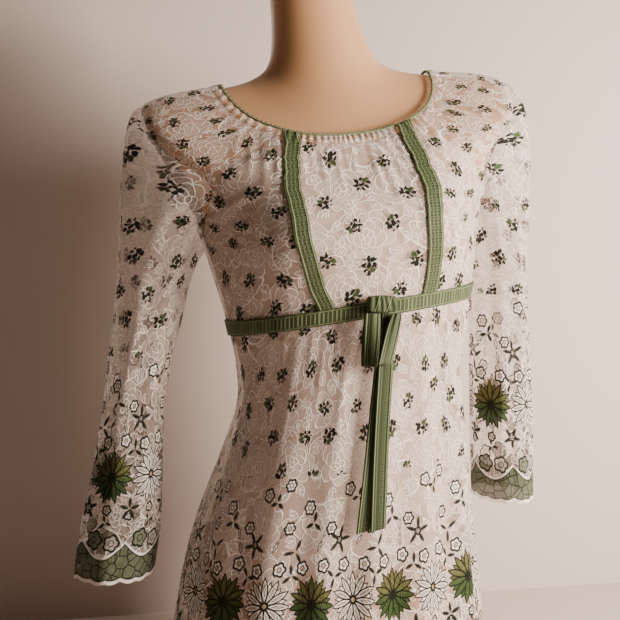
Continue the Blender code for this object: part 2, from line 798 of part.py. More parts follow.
def build_lining(finish):
    edge = math.pi / 2 - seam_angle(BAND)
    rows = len(lining_stations(0.0)) - 1

    def front(column, row, lift):
        return lining_point(-edge, edge, column, row, lift)

    def back(column, row, lift):
        return lining_point(math.pi - edge, math.pi + edge, column, row, lift)

    panel("lining_front", LINING_COLUMNS, rows, front, finish, LINING_WALL)
    panel("lining_back", LINING_COLUMNS, rows, back, finish, LINING_WALL)


def build_trims(finish, lace, edging):
    rows = len(panel_stations()) - TRIM_FIRST_ROW
    front_columns = 2 * (SIDE_COLUMNS + TRIM_COLUMNS) + CENTRE_COLUMNS
    left_first = front_columns - SIDE_COLUMNS - TRIM_COLUMNS
    for name, first in (("trim_right", SIDE_COLUMNS), ("trim_left", left_first)):

        def trim(column, row, lift, first=first):
            return trim_point(first, column, row, lift)

        panel(name, TRIM_COLUMNS, rows, trim, finish, TRIM_WALL)
    around = front_columns + BACK_COLUMNS + 2
    panel("waist_trim", around, BAND_STEPS, band_point, finish, TRIM_WALL, closed=True)
    casing_columns = CASING_WAVES * CASING_POINTS
    panel("neck_casing", casing_columns, CASING_STEPS, casing_point, lace, LACE_WALL, closed=True)

    def cord(column, row):
        return stance(edging_point(column, row))

    bm = grid_mesh(EDGING_COLUMNS, EDGING_SIDES, cord, round_columns=True, round_rows=True)
    bmesh.ops.recalc_face_normals(bm, faces=bm.faces)
    add_object("neck_edging", bm, edging)


def bow_rest_y():
    """How far forward the waist trim reaches behind the bow."""
    return waist_point(math.radians(BOW_ANGLE), BOW_TOP_Z, BAND_GAP + TRIM_WALL).y


def loop_point(middle_x, width, length, lean, pinch, turned, column, row):
    """A hanging ribbon loop: down its front, round its lower end and up its back."""
    top = BOW_TOP_Z
    back_y = bow_rest_y() - BOW_GAP - RIBBON_WALL
    straight = length - LOOP_HOLLOW
    total = 2 * straight + math.pi * LOOP_HOLLOW
    along = total * row / LOOP_STEPS
    if along < straight:
        drop, out = along, 2 * LOOP_HOLLOW
    elif along > straight + math.pi * LOOP_HOLLOW:
        drop, out = total - along, 0.0
    else:
        turn = (along - straight) / LOOP_HOLLOW
        drop = straight + LOOP_HOLLOW * math.sin(turn)
        out = LOOP_HOLLOW * (1 + math.cos(turn))
    spread = pinch + (1 - pinch) * min(drop / (0.5 * length), 1.0)
    across = (column / LOOP_COLUMNS_ACROSS - 0.5) * width * spread
    facing = math.radians(turned) * drop / length
    x = middle_x + lean * drop + across * math.cos(facing)
    y = back_y - out - LOOP_FALL * drop - across * math.sin(facing)
    return Vector((x, y, top - drop))


def tail_point(top_x, bottom_x, width, bottom_z, forward, column, row):
    """A ribbon tail, hanging straight down in front of the skirt's folds."""
    share = row / TAIL_STEPS
    z = bottom_z + (TAIL_TOP_Z - bottom_z) * share
    x = bottom_x + (top_x - bottom_x) * share + (column / TAIL_COLUMNS_ACROSS - 0.5) * width
    y = TAIL_END_Y + (TAIL_TOP_Y - TAIL_END_Y) * share - forward
    return Vector((x, y, z))


def build_bow(finish):
    knot_at = Vector((BOW_X, bow_rest_y() - KNOT_OUT, KNOT_Z)) * CM
    bm = bmesh.new()
    bmesh.ops.create_cube(bm, size=1.0)
    bmesh.ops.scale(bm, verts=bm.verts, vec=Vector(KNOT_SIZE) * CM)
    round_by = KNOT_ROUND * CM
    bmesh.ops.bevel(bm, geom=bm.edges[:], offset=round_by, segments=2, profile=0.5, affect="EDGES")
    bmesh.ops.translate(bm, verts=bm.verts, vec=knot_at)
    add_object("bow_knot", bm, finish)
    for name, *values in LOOP_ROWS:

        def loop(column, row, values=values):
            return loop_point(*values, column, LOOP_STEPS - row)

        cloth(name, LOOP_COLUMNS_ACROSS, LOOP_STEPS, loop, finish, RIBBON_WALL)
    for name, *values in TAIL_ROWS:

        def tail(column, row, values=values):
            return tail_point(*values, column, row)

        cloth(name, TAIL_COLUMNS_ACROSS, TAIL_STEPS, tail, finish, RIBBON_WALL)


def main():
    clear_scene()
    lace = material("lace", (0.86, 0.76, 0.70), 0.6)
    lining = material("lining", (0.72, 0.56, 0.47), 0.45)
    ribbon = material("ribbon", (0.20, 0.22, 0.11), 0.5)
    edging = material("edging", (0.16, 0.19, 0.08), 0.6)
    skin = material("form", (0.62, 0.40, 0.27), 0.45)
    plate = material("plate", (0.13, 0.07, 0.04), 0.5)
    build_form(skin, plate)
    build_lining(lining)
    build_bodice(lace)
    build_skirt(lace)
    build_sleeves(lace)
    build_trims(ribbon, lace, edging)
    build_bow(ribbon)


main()
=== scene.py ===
# %% [markdown]
# # A lace blouse on a dress form
#
# This script dresses a solid model of a lace blouse, worn by a limbless display form, in thin cloth
# with real finishes. The solid model is loaded first and never changed. Each piece of cloth is a fine
# sheet that follows the solid's form, and stands in its place in the picture.

# %% Load the solid model
import math
from functools import lru_cache

import bmesh
import bpy
import numpy as np
from mathutils import Matrix, Vector


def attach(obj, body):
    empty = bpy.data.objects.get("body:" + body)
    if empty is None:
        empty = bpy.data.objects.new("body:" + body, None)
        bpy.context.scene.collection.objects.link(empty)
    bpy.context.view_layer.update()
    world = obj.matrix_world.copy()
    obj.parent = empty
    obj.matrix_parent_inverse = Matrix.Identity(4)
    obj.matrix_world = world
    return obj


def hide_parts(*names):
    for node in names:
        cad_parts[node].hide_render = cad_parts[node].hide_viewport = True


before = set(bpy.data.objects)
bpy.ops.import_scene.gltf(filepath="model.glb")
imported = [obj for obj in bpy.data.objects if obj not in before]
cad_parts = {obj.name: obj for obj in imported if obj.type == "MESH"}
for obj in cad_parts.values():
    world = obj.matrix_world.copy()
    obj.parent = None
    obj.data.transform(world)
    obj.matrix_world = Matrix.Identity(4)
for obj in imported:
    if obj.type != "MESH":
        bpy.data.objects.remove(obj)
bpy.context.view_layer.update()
CM = 0.01

# %% [markdown]
# ## The camera
#
# The camera stands a metre away, a little to the wearer's right of the front, and looks slightly
# down. A lens of about 55 mm gives the mild perspective of a hand-held picture.

# %% Place the camera
CAMERA_TARGET = Vector((-0.015, 0.0, 0.4385))
CAMERA_DISTANCE = 1.045
CAMERA_YAW = math.radians(11.2)
CAMERA_PITCH = math.radians(1.5)
CAMERA_LENS = 55.16

camera = bpy.data.objects.new("camera", bpy.data.cameras.new("camera"))
bpy.context.scene.collection.objects.link(camera)
camera.data.lens = CAMERA_LENS
ahead = Vector((
    math.sin(CAMERA_YAW) * math.cos(CAMERA_PITCH),
    math.cos(CAMERA_YAW) * math.cos(CAMERA_PITCH),
    -math.sin(CAMERA_PITCH),
))
camera.location = CAMERA_TARGET - ahead * CAMERA_DISTANCE
camera.rotation_euler = (math.pi / 2 - CAMERA_PITCH, 0.0, -CAMERA_YAW)
bpy.context.scene.camera = camera

# %% [markdown]
# ## The figure that the cloth is cut for
#
# The blouse is fitted to one figure, so everything starts from that figure's sections. Each table
# row is one ring round the body, in centimetres, and a smooth curve runs through the rows. Directions
# round the body are angles, 0 being the centre front and 90 degrees the wearer's left side. A station
# is a place between two rings. Places higher up tilt with the form's leaning stance.

# %% Sections of the figure
# The form's sections, from the base up. Each ring passes through one side point, one front point
# and one back point: the height there, and the distance from the middle. The last number is how
# square the ring is, 2 being an ellipse.
BODY_ROWS = (
    (0.0, 13.2, 0.0, 9.6, 0.0, 10.4, 2.2),
    (9.0, 14.2, 9.0, 10.4, 9.0, 11.8, 2.2),
    (19.0, 13.5, 19.0, 10.6, 19.0, 12.1, 2.2),
    (27.5, 11.8, 27.5, 10.2, 27.5, 10.5, 2.2),
    (36.0, 10.7, 36.0, 9.0, 36.0, 8.4, 2.2),
    (44.0, 12.9, 44.0, 10.3, 44.0, 9.0, 2.2),
    (52.4, 14.6, 52.0, 9.8, 52.4, 9.9, 2.3),
    (57.5, 16.4, 55.5, 9.4, 57.0, 10.2, 2.5),
    (62.5, 18.5, 57.6, 8.9, 60.5, 10.0, 2.7),
    (66.7, 20.2, 59.3, 8.4, 63.0, 9.3, 2.9),
    (68.2, 18.0, 60.4, 8.0, 64.8, 8.6, 2.8),
    (69.0, 11.7, 61.5, 7.5, 66.8, 7.5, 2.4),
    (69.8, 8.0, 64.6, 5.9, 68.8, 6.2, 2.1),
    (71.4, 6.0, 68.8, 4.4, 71.2, 5.6, 2.0),
    (75.4, 4.9, 75.2, 3.9, 75.6, 5.1, 2.0),
    (81.0, 4.4, 81.0, 3.8, 81.0, 4.7, 2.0),
)
(BASE, THIGH, HIP, HIGH_HIP, WAIST, BAND, BUST, CHEST, PLATE, TIP, SHOULDER, NECKLINE, COLLAR,
 NECK_LOW, NECK_MID, NECK_TOP) = range(len(BODY_ROWS))

# The form's stance: a height, how far its middle lies to the wearer's left, and its sideways tilt.
STANCE_ROWS = (
    (0.0, 0.0, 0.0),
    (6.5, 0.1, 3.2),
    (19.0, 0.4, 4.6),
    (28.0, 1.3, 5.0),
    (36.0, 2.1, 7.4),
    (44.0, 2.9, 9.0),
    (51.0, 2.2, 7.6),
    (58.0, 1.4, 6.4),
    (68.0, 0.3, 6.2),
    (81.0, -1.8, 6.2),
)

BUST_X = 7.4
BUST_Z = 52.0
BUST_RISE = 2.9
BUST_SPREAD_X = 4.7
BUST_SPREAD_UP = 6.6
BUST_SPREAD_DOWN = 4.6
BUST_BRIDGE = 0.22

# Where the armhole seam runs: how far round from the side it cuts into the front and the back.
ARMHOLE_FRONT = 25.0
ARMHOLE_BACK = 22.0
ARMHOLE_POWER = 0.75
ARMHOLE_TOP = 9.4

# The front trims' middle lines, from the waist trim to the neckline: a station, then how far the
# right and the left line lie from the centre front.
TRIM_LINES = (
    (BAND, 4.5, 5.5),
    (5.4, 5.5, 6.2),
    (BUST, 6.6, 6.6),
    (7.0, 6.9, 6.8),
    (8.0, 6.8, 6.6),
    (TIP, 6.5, 6.3),
    (NECKLINE, 6.0, 5.8),
)

# %% Read the tables
def table_at(rows, place):
    """The row of a table at a place between its rows, on a smooth curve through them."""
    place = min(max(place, 0.0), len(rows) - 1.0)
    low = min(int(place), len(rows) - 2)
    t = place - low
    before = rows[max(low - 1, 0)]
    after = rows[min(low + 2, len(rows) - 1)]
    mixed = []
    for p0, p1, p2, p3 in zip(before, rows[low], rows[low + 1], after):
        m1 = (p2 - p0) / 2
        m2 = (p3 - p1) / 2
        mixed.append(
            p1 * (2 * t**3 - 3 * t**2 + 1)
            + m1 * (t**3 - 2 * t**2 + t)
            + p2 * (3 * t**2 - 2 * t**3)
            + m2 * (t**3 - t**2)
        )
    return mixed


def place_of(rows, value):
    """The place in a table at which its first column, which only rises or only falls, has a value."""
    sign = 1 if rows[-1][0] > rows[0][0] else -1
    for i in range(len(rows) - 1):
        a = rows[i][0] * sign
        b = rows[i + 1][0] * sign
        if value * sign <= b or i == len(rows) - 2:
            return i + min(max((value * sign - a) / (b - a), 0.0), 1.0)

def trim_lines_at(station):
    """How far the right and the left trim's middle lines lie from the centre front."""
    _, right, left = table_at(TRIM_LINES, place_of(TRIM_LINES, station))
    return right, left

# %% Points of the figure, upright and in its stance
def ring_radius(angle, wide, deep, square):
    """How far a rounded section reaches in a direction, 0 being its front."""
    across = abs(math.sin(angle)) / wide
    along = abs(math.cos(angle)) / deep
    return (across**square + along**square) ** (-1 / square)


def bust_rise(x, z):
    beyond = max(abs(x) - BUST_X, 0.0) / BUST_SPREAD_X
    spread = BUST_SPREAD_UP if z > BUST_Z else BUST_SPREAD_DOWN
    above = (z - BUST_Z) / spread
    inside = max(1 - (x / BUST_X) ** 2, 0.0)
    return BUST_RISE * (1 - BUST_BRIDGE * inside) * math.exp(-(beyond**2) - above**2)


def body_point(angle, station):
    """A point of the form's surface before it takes its stance. Angle 0 is the centre front."""
    side_z, half, front_z, front, back_z, back, square = table_at(BODY_ROWS, station)
    ahead = math.cos(angle) > 0
    depth, depth_z = (front, front_z) if ahead else (back, back_z)
    radius = ring_radius(angle, half, depth, square)
    x = radius * math.sin(angle)
    y = -radius * math.cos(angle)
    share = min(abs(y) / depth, 1.0)
    share = share**2 * 1.35 / (share + 0.35)
    z = side_z + (depth_z - side_z) * share
    if ahead:
        y -= bust_rise(x, z) * min(math.cos(angle) * 2.2, 1.0) ** 2
    return Vector((x, y, z))


def normal_of(surface, a, b, step_a=0.01, step_b=0.03):
    """The outward normal of a surface(a, b) whose a runs round to the wearer's left and b up."""
    across = surface(a + step_a, b) - surface(a - step_a, b)
    up = surface(a, b + step_b) - surface(a, b - step_b)
    return across.cross(up).normalized()


def stance(point):
    """A point of the upright figure, moved to where the posed form has it."""
    z, middle_x, tilt = table_at(STANCE_ROWS, place_of(STANCE_ROWS, point.z))
    tilt = math.radians(tilt)
    return Vector((middle_x + point.x * math.cos(tilt), point.y, point.z + point.x * math.sin(tilt)))


def over_body(angle, station, lift):
    station = min(station, NECK_TOP)
    return body_point(angle, station) + normal_of(body_point, angle, station) * lift

# %% [markdown]
# ## Cloth from a bmesh grid
#
# Every piece of cloth starts as a flat bmesh grid, whose points are then laid on the figure. The
# grid's UV map holds real lengths in metres, measured on the finished surface, so that lace and print
# come out at their true scale wherever they lie. A cloth that closes on itself has its two ends
# merged. A single fine sheet is used for sheer lace, because a second layer would hide what shows
# through it, and a thin wall is added to opaque cloth.

# %% Make a sheet
def lay_points(columns, rows, place):
    """Places of all the grid's points, as an array of columns by rows by three."""
    return np.array([[place(c / columns, r / rows) for r in range(rows + 1)] for c in range(columns + 1)])


def arc_lengths(points, axis):
    steps = np.linalg.norm(np.diff(points, axis=axis), axis=2)
    pad = [(1, 0), (0, 0)] if axis == 0 else [(0, 0), (1, 0)]
    return np.cumsum(np.pad(steps, pad), axis=axis)


def cloth_map(points, even, centre):
    """Distances along and up the cloth. An even map gives each column one distance along."""
    along = arc_lengths(points, 0)
    if even:
        share = np.linspace(0.0, 1.0, points.shape[0])[:, None]
        along = share * along[-1, 0] * np.ones_like(along)
    along = along - along[int(round(centre * (points.shape[0] - 1)))][None, :]
    return along, arc_lengths(points, 1)


def sheet(name, columns, rows, place, closed=False, even=False, centre=0.5, wall=0.0, rim=None):
    """A cloth piece. place(s, t) gives points in centimetres, s round to the wearer's left, t up."""
    points = lay_points(columns, rows, place)
    along, up = cloth_map(points, even, centre)
    if rim:
        points = rim(points, along, up)
    bm = bmesh.new()
    bmesh.ops.create_grid(bm, x_segments=columns, y_segments=rows, size=0.5)
    uv = bm.loops.layers.uv.new("cloth")
    for vert in bm.verts:
        c = round((vert.co.x + 0.5) * columns)
        r = round((vert.co.y + 0.5) * rows)
        vert.co = Vector(points[c, r]) * CM
        for loop in vert.link_loops:
            loop[uv].uv = (along[c, r] * CM, up[c, r] * CM)
    if closed:
        bmesh.ops.remove_doubles(bm, verts=bm.verts, dist=1e-5)
    return add_piece(name, bm, wall)


def add_piece(name, bm, wall=0.0):
    mesh = bpy.data.meshes.new(name)
    bm.to_mesh(mesh)
    bm.free()
    mesh.shade_smooth()
    piece = bpy.data.objects.new(name, mesh)
    bpy.context.scene.collection.objects.link(piece)
    if wall:
        solid = piece.modifiers.new("wall", "SOLIDIFY")
        solid.thickness = wall * CM
        solid.offset = -1.0
    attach(piece, "root")
    print(name, len(mesh.polygons), "faces,", round(area_of(piece), 4), "square metres")
    return piece


def area_of(piece):
    return sum(face.area for face in piece.data.polygons)


# %% [markdown]
# ## Creases
#
# Real cloth is never even. Each crease is drawn as a soft ridge between two points, with its
# own width and height, and tapers out at both ends. A negative height makes a valley.

# %% Draw creases as soft ridges
def crease_rise(creases, x, y):
    """How far the creases lift the cloth at a place. Rows: x, y of both ends, width and height."""
    total = 0.0
    for x0, y0, x1, y1, width, height in creases:
        dx, dy = x1 - x0, y1 - y0
        length = math.hypot(dx, dy)
        along = ((x - x0) * dx + (y - y0) * dy) / length
        share = along / length
        if not -0.1 < share < 1.1:
            continue
        across = ((x - x0) * dy - (y - y0) * dx) / length / width
        if abs(across) > 3:
            continue
        taper = math.sin(math.pi * min(max((share + 0.1) / 1.2, 0.0), 1.0)) ** 1.2
        total += height * taper * math.exp(-across * across)
    return total

# %% [markdown]
# ## How the cloth lies on the figure
#
# The lace rests on the shoulders and stands a few millimetres off elsewhere, over its lining. The
# neckline is wide and drawn in by a gathered casing, so the bodice ends a casing's width below it.
# The armhole is a smooth cut into the side of both panels.

# %% The lace surface, the neckline and the armholes
LINING_LIFT = 0.28
LINING_SEAM_LIFT = 0.37
LACE_LIFT = 0.62
SHOULDER_LIFT = 0.26
FORM_INSET = 0.16
HOLLOW_INSET = 0.14
HOLLOW_STATION = 8.7
HOLLOW_REACH = 2.0
CASING_WIDTH = 1.0
TRIM_WIDTH = 1.6
TRIM_LIFT = 0.16
# Where the armhole seam runs: how far round from the side it cuts into the front and the back.
ARMHOLE_FRONT = 25.0
ARMHOLE_BACK = 22.0
ARMHOLE_POWER = 0.75
ARMHOLE_TOP = 9.4

def shoulder_share(angle, station):
    """1 on top of the shoulders, falling to 0 down the chest, the back and the sides."""
    top = min(max((station - CHEST) / (TIP - CHEST), 0.0), 1.0)
    side = min(max((abs(math.sin(angle)) - 0.75) / 0.2, 0.0), 1.0)
    return top * side


def form_point(angle, station):
    """The form itself stands a little inside the figure that the cloth is cut for, and more so where
    the chest and the shoulder blades curve hollow."""
    side = min(max((abs(math.sin(angle)) - 0.85) / 0.13, 0.0), 1.0)
    hollow = max(1 - ((station - HOLLOW_STATION) / HOLLOW_REACH) ** 2, 0.0) * (1 - side)
    return over_body(angle, station, -FORM_INSET - HOLLOW_INSET * hollow)


def lace_lift(angle, station):
    """The lace rests on the top of the shoulders and stands off elsewhere, over its lining."""
    return LACE_LIFT + (SHOULDER_LIFT - LACE_LIFT) * shoulder_share(angle, station)


def lace_point(angle, station, lift=0.0):
    """A point of the worn lace, or one lifted off it."""
    return over_body(angle, station, lace_lift(angle, station) + lift)

@lru_cache(maxsize=None)
def top_station_at(degree):
    """The station a casing's width below the neckline, in one direction."""
    angle = math.radians(degree)
    near = NECKLINE - 0.12
    speed = (body_point(angle, NECKLINE) - body_point(angle, near)).length / (NECKLINE - near)
    guess = CASING_WIDTH / speed
    for _ in range(4):
        span = (body_point(angle, NECKLINE) - body_point(angle, NECKLINE - guess)).length
        guess *= CASING_WIDTH / span
    return NECKLINE - guess


def top_station(angle):
    degrees = math.degrees(angle)
    low = math.floor(degrees)
    share = degrees - low
    return top_station_at(low) * (1 - share) + top_station_at(low + 1) * share


def armhole_share(station):
    if not BUST < station < ARMHOLE_TOP:
        return 0.0
    return math.sin(math.pi * (station - BUST) / (ARMHOLE_TOP - BUST)) ** ARMHOLE_POWER


def side_angle(station, cut):
    """Where a panel ends at the side: at the side seam, or at the armhole's edge."""
    return math.radians(90 - cut * armhole_share(station))

def bodice_station(angle, station):
    """Squeezes the rows so that the last one lies at the casing's lower edge."""
    share = (station - BAND) / (NECKLINE - BAND)
    return BAND + share * (top_station(angle) - BAND)


def angle_at(distance, station):
    """The direction in which the section at a station lies a given distance from the middle."""
    low, high = 0.0, math.pi / 2
    for _ in range(30):
        mid = (low + high) / 2
        if body_point(mid, station).x < distance:
            low = mid
        else:
            high = mid
    return low

# %% [markdown]
# ## The skirt and the sleeves hang free
#
# Below the waist seam the skirt widens into a soft A-line whose folds grow towards the hem. A
# sleeve starts on the armhole, turns down over the shoulder's end and hangs as a soft tube.

# %% Sections and folds of the skirt
SKIRT_TUCK = 0.06
# The skirt's sections, from the waist seam to the hem: a height, how far the skirt reaches to the
# right, left, front and back, and how square it is.
SKIRT_ROWS = (
    (44.0, 13.5, 13.5, 10.9, 9.6, 2.2),
    (40.0, 12.3, 13.2, 11.0, 9.8, 2.2),
    (35.0, 11.5, 13.2, 11.3, 10.7, 2.2),
    (29.0, 12.6, 14.4, 11.8, 12.2, 2.2),
    (23.0, 14.2, 15.4, 12.3, 13.7, 2.2),
    (16.0, 15.5, 16.2, 12.8, 14.4, 2.2),
    (11.0, 16.2, 16.8, 13.2, 14.7, 2.2),
    (4.8, 17.1, 17.3, 13.7, 15.0, 2.2),
)

# The skirt's soft folds: direction at the waist seam and at the hem, width, and rise at the hem.
SKIRT_FOLDS = (
    (-80.0, -84.0, 9.0, 0.9),
    (-57.0, -60.0, 8.5, 1.0),
    (-36.0, -38.0, 8.0, 1.2),
    (-13.0, -15.0, 7.5, 0.9),
    (11.0, 9.0, 7.5, 0.8),
    (34.0, 31.0, 8.0, 1.0),
    (58.0, 55.0, 8.5, 1.4),
    (84.0, 82.0, 9.0, 1.0),
    (110.0, 108.0, 10.0, 1.0),
    (137.0, 136.0, 10.0, 1.1),
    (166.0, 165.0, 10.0, 0.9),
    (195.0, 196.0, 10.0, 1.2),
    (223.0, 225.0, 10.0, 1.0),
    (251.0, 252.0, 10.0, 1.1),
)

FOLD_TROUGH = 0.35
FOLD_GROWTH = 1.15


def skirt_share(z):
    top = SKIRT_ROWS[0][0]
    return (top - z) / (top - SKIRT_ROWS[-1][0])


def skirt_fold(angle, share):
    """How far the folds push the skirt out in a direction, at a share of its drop."""
    total = 0.0
    for top_angle, hem_angle, width, rise in SKIRT_FOLDS:
        middle = top_angle + (hem_angle - top_angle) * share
        away = (math.degrees(angle) - middle + 180) % 360 - 180
        total += rise * math.exp(-((away / width) ** 2))
    return (total - FOLD_TROUGH) * min(share * FOLD_GROWTH, 1.0)


def skirt_point(angle, z, lift=0.0):
    _, right, left, front, back, square = table_at(SKIRT_ROWS, place_of(SKIRT_ROWS, z))
    wide = left if math.sin(angle) > 0 else right
    deep = front if math.cos(angle) > 0 else back
    radius = ring_radius(angle, wide, deep, square) + skirt_fold(angle, skirt_share(z)) + lift
    return Vector((radius * math.sin(angle), -radius * math.cos(angle), z))

def station_at(z):
    """The station of one of the form's level sections."""
    levels = [row[0] for row in BODY_ROWS[: BUST + 1]]
    return place_of([(level,) for level in levels], z)


def waist_point(angle, z, lift=0.0):
    return lace_point(angle, station_at(z), lift)

# %% Sections and folds of the sleeves
# The sleeves' sections, from under the arm to the cuff, as they hang: a height, distances of the
# outer and the inner fold from the middle of the figure, the section's middle and half its depth.
RIGHT_SLEEVE = (
    (45.5, 22.4, 14.9, 0.6, 4.7),
    (40.0, 23.1, 16.1, 0.9, 4.5),
    (34.2, 23.9, 17.2, 1.0, 4.3),
    (26.7, 25.2, 17.5, 0.8, 4.5),
    (21.3, 26.4, 17.7, 0.6, 4.8),
    (16.0, 27.1, 18.4, 0.4, 5.0),
)
LEFT_SLEEVE = (
    (49.0, 23.8, 17.4, 1.0, 4.8),
    (44.0, 24.0, 17.6, 1.2, 4.6),
    (38.0, 24.3, 17.6, 1.2, 4.4),
    (32.0, 24.5, 17.7, 1.1, 4.4),
    (27.0, 24.5, 17.8, 0.9, 4.6),
    (22.2, 24.5, 17.9, 0.8, 4.8),
)
# How far each sleeve head stands out before it turns down
RIGHT_HEAD = 8.0
LEFT_HEAD = 10.5

# A sleeve's long soft folds: direction round the sleeve, 0 being its outer side and 90 its front,
# at the shoulder and at the cuff, then width and rise.
SLEEVE_FOLDS = (
    (18.0, 30.0, 16.0, 0.40),
    (62.0, 74.0, 15.0, 0.42),
    (118.0, 112.0, 17.0, 0.34),
    (170.0, 165.0, 18.0, 0.22),
    (232.0, 228.0, 18.0, 0.30),
    (292.0, 296.0, 18.0, 0.36),
)

SLEEVE_EASE = 0.25
HEAD_SHARE = 0.35
HEAD_FOLDS = 0.8
HEAD_SLANT = 0.13
HEAD_RISE = 0.15
HEAD_LEAST = 2.0
HEAD_BUNCH = 1.3
HEAD_PART = 0.36


def sleeve_fold(turn, share):
    total = 0.0
    for top_angle, cuff_angle, width, rise in SLEEVE_FOLDS:
        middle = top_angle + (cuff_angle - top_angle) * share
        away = (math.degrees(turn) - middle + 180) % 360 - 180
        total += rise * math.exp(-((away / width) ** 2))
    return total


def sleeve_section(side, rows, turn, z, share):
    """A point of a sleeve below its head, in the stance. Turn 0 is its outer side, 90 degrees its front."""
    _, outer, inner, middle_y, half_deep = table_at(rows, place_of(rows, z))
    fold = sleeve_fold(turn, share)
    half_wide = (outer - inner) / 2 - SLEEVE_EASE + fold * abs(math.cos(turn))
    deep = half_deep - SLEEVE_EASE + fold
    x = (outer + inner) / 2 + half_wide * math.cos(turn)
    return Vector((side * x, middle_y - deep * math.sin(turn), z))

# %% [markdown]
# ## The lining
#
# An opaque camisole lining lies under the body lace only. Its upper edge reaches the neckline between
# the front trims and falls from there to the armholes, so skin shows through the lace beside it.

# %% Where the lining ends
LINING_HEM_Z = 17.5
LINING_CORNER = 45.0
LINING_DROP = 0.15
LINING_FOOT = 7.0
BACK_LINING_CORNER = 30.0
BACK_LINING_TOP = 8.4


def lining_top(angle):
    """The lining reaches the neckline between the trims, and falls from there to the armholes."""
    away = abs((math.degrees(angle) + 180) % 360 - 180)
    if away > 90:
        away = 180 - away
        corner, high, cut = BACK_LINING_CORNER, BACK_LINING_TOP, ARMHOLE_BACK
    else:
        corner, high, cut = LINING_CORNER, top_station(angle), ARMHOLE_FRONT
    foot = 90 - cut
    fall = min(max(away - corner, 0.0) / (foot - corner), 1.0)
    edge = high + (LINING_FOOT - high) * fall
    if away <= foot:
        return edge
    turn = math.asin(min(((90 - away) / cut) ** (1 / ARMHOLE_POWER), 1.0))
    return min(edge, BUST + (ARMHOLE_TOP - BUST) * turn / math.pi - LINING_DROP)

# %% Lay the lining
def lining_place(start, end):
    low = station_at(LINING_HEM_Z)

    def place(s, t):
        angle = start + (end - start) * s
        station = low + (lining_top(angle) - low) * t
        sewn = math.exp(-(((station - BAND) / 0.15) ** 2))
        lift = LINING_LIFT + (LINING_SEAM_LIFT - LINING_LIFT) * sewn
        return stance(over_body(angle, station, lift))

    return place


SIDE = math.pi / 2
lining_front = sheet("camisole_front", 72, 90, lining_place(-SIDE, SIDE), wall=0.05)
lining_back = sheet("camisole_back", 72, 90, lining_place(SIDE, 3 * SIDE), wall=0.05)
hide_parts("lining_front")
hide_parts("lining_back")

# %% [markdown]
# ## The dress form
#
# The form is a smooth moulded torso. It is laid from the same sections as the solid, with many more
# columns, so that its neck and shoulders shine evenly. The neck's top and the base are closed flat.

# %% Lay the form
FORM_ROWS = 200


def form_place(s, t):
    return stance(form_point(2 * math.pi * s, t * NECK_TOP))


form = sheet("torso", 144, FORM_ROWS, form_place, closed=True)
form_mesh = bmesh.new()
form_mesh.from_mesh(form.data)
bmesh.ops.holes_fill(form_mesh, edges=form_mesh.edges, sides=0)
form_mesh.to_mesh(form.data)
form_mesh.free()
form.data.set_sharp_from_angle(angle=math.radians(50))
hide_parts("dress_form")

# %% [markdown]
# ## The bodice
#
# The casing draws the neckline in, so short pleats of uneven length fall from it, closest together in
# front. Longer pulls run from the armpits towards the bust, and small ones rise from the waist seam.
# The creases are drawn on the flat front view of the figure, x across and y up.

# %% Creases of the bodice front
FRONT_CREASES = (
    (-5.3, 61.2, -5.6, 56.8, 0.30, 0.13),
    (-4.4, 61.0, -4.6, 58.2, 0.24, 0.12),
    (-3.5, 60.9, -3.6, 56.4, 0.30, 0.15),
    (-2.7, 60.8, -2.8, 58.7, 0.22, 0.10),
    (-1.9, 60.7, -2.0, 55.6, 0.32, 0.14),
    (-1.0, 60.6, -1.0, 58.4, 0.24, 0.10),
    (-0.2, 60.6, -0.3, 57.2, 0.26, 0.13),
    (0.7, 60.6, 0.8, 58.6, 0.22, 0.10),
    (1.5, 60.7, 2.0, 55.4, 0.36, 0.20),
    (2.4, 60.8, 3.6, 54.2, 0.45, 0.26),
    (3.4, 60.9, 4.7, 56.0, 0.34, 0.16),
    (4.4, 61.0, 5.2, 58.4, 0.26, 0.12),
    (2.9, 58.2, 5.0, 53.6, 0.60, -0.16),
    (-7.6, 61.8, -8.2, 57.2, 0.36, 0.16),
    (-8.7, 62.2, -9.4, 56.2, 0.42, 0.20),
    (-9.8, 62.8, -10.8, 58.0, 0.38, 0.18),
    (-10.8, 63.6, -12.2, 59.4, 0.36, 0.14),
    (7.4, 61.8, 8.0, 57.8, 0.34, 0.15),
    (8.5, 62.3, 9.4, 56.8, 0.40, 0.18),
    (9.8, 63.0, 11.0, 58.6, 0.36, 0.15),
    (-15.2, 54.6, -9.4, 57.4, 0.55, 0.20),
    (-15.4, 53.0, -10.2, 54.4, 0.50, 0.16),
    (-15.2, 51.2, -11.4, 50.6, 0.45, 0.14),
    (15.4, 54.4, 10.2, 56.8, 0.55, 0.18),
    (15.4, 52.4, 11.2, 53.0, 0.48, 0.15),
    (-13.2, 46.4, -9.2, 48.0, 0.40, 0.10),
    (-7.8, 45.0, -8.4, 48.4, 0.26, 0.08),
    (-6.2, 45.0, -6.9, 47.6, 0.22, 0.07),
    (-3.2, 45.0, -3.4, 47.8, 0.24, 0.08),
    (-1.4, 45.0, -1.6, 47.0, 0.20, 0.07),
    (1.2, 45.0, 1.0, 48.2, 0.26, 0.08),
    (3.0, 45.0, 3.3, 47.2, 0.20, 0.06),
    (7.0, 45.0, 7.8, 48.0, 0.26, 0.08),
    (9.6, 45.2, 11.0, 48.4, 0.30, 0.09),
)

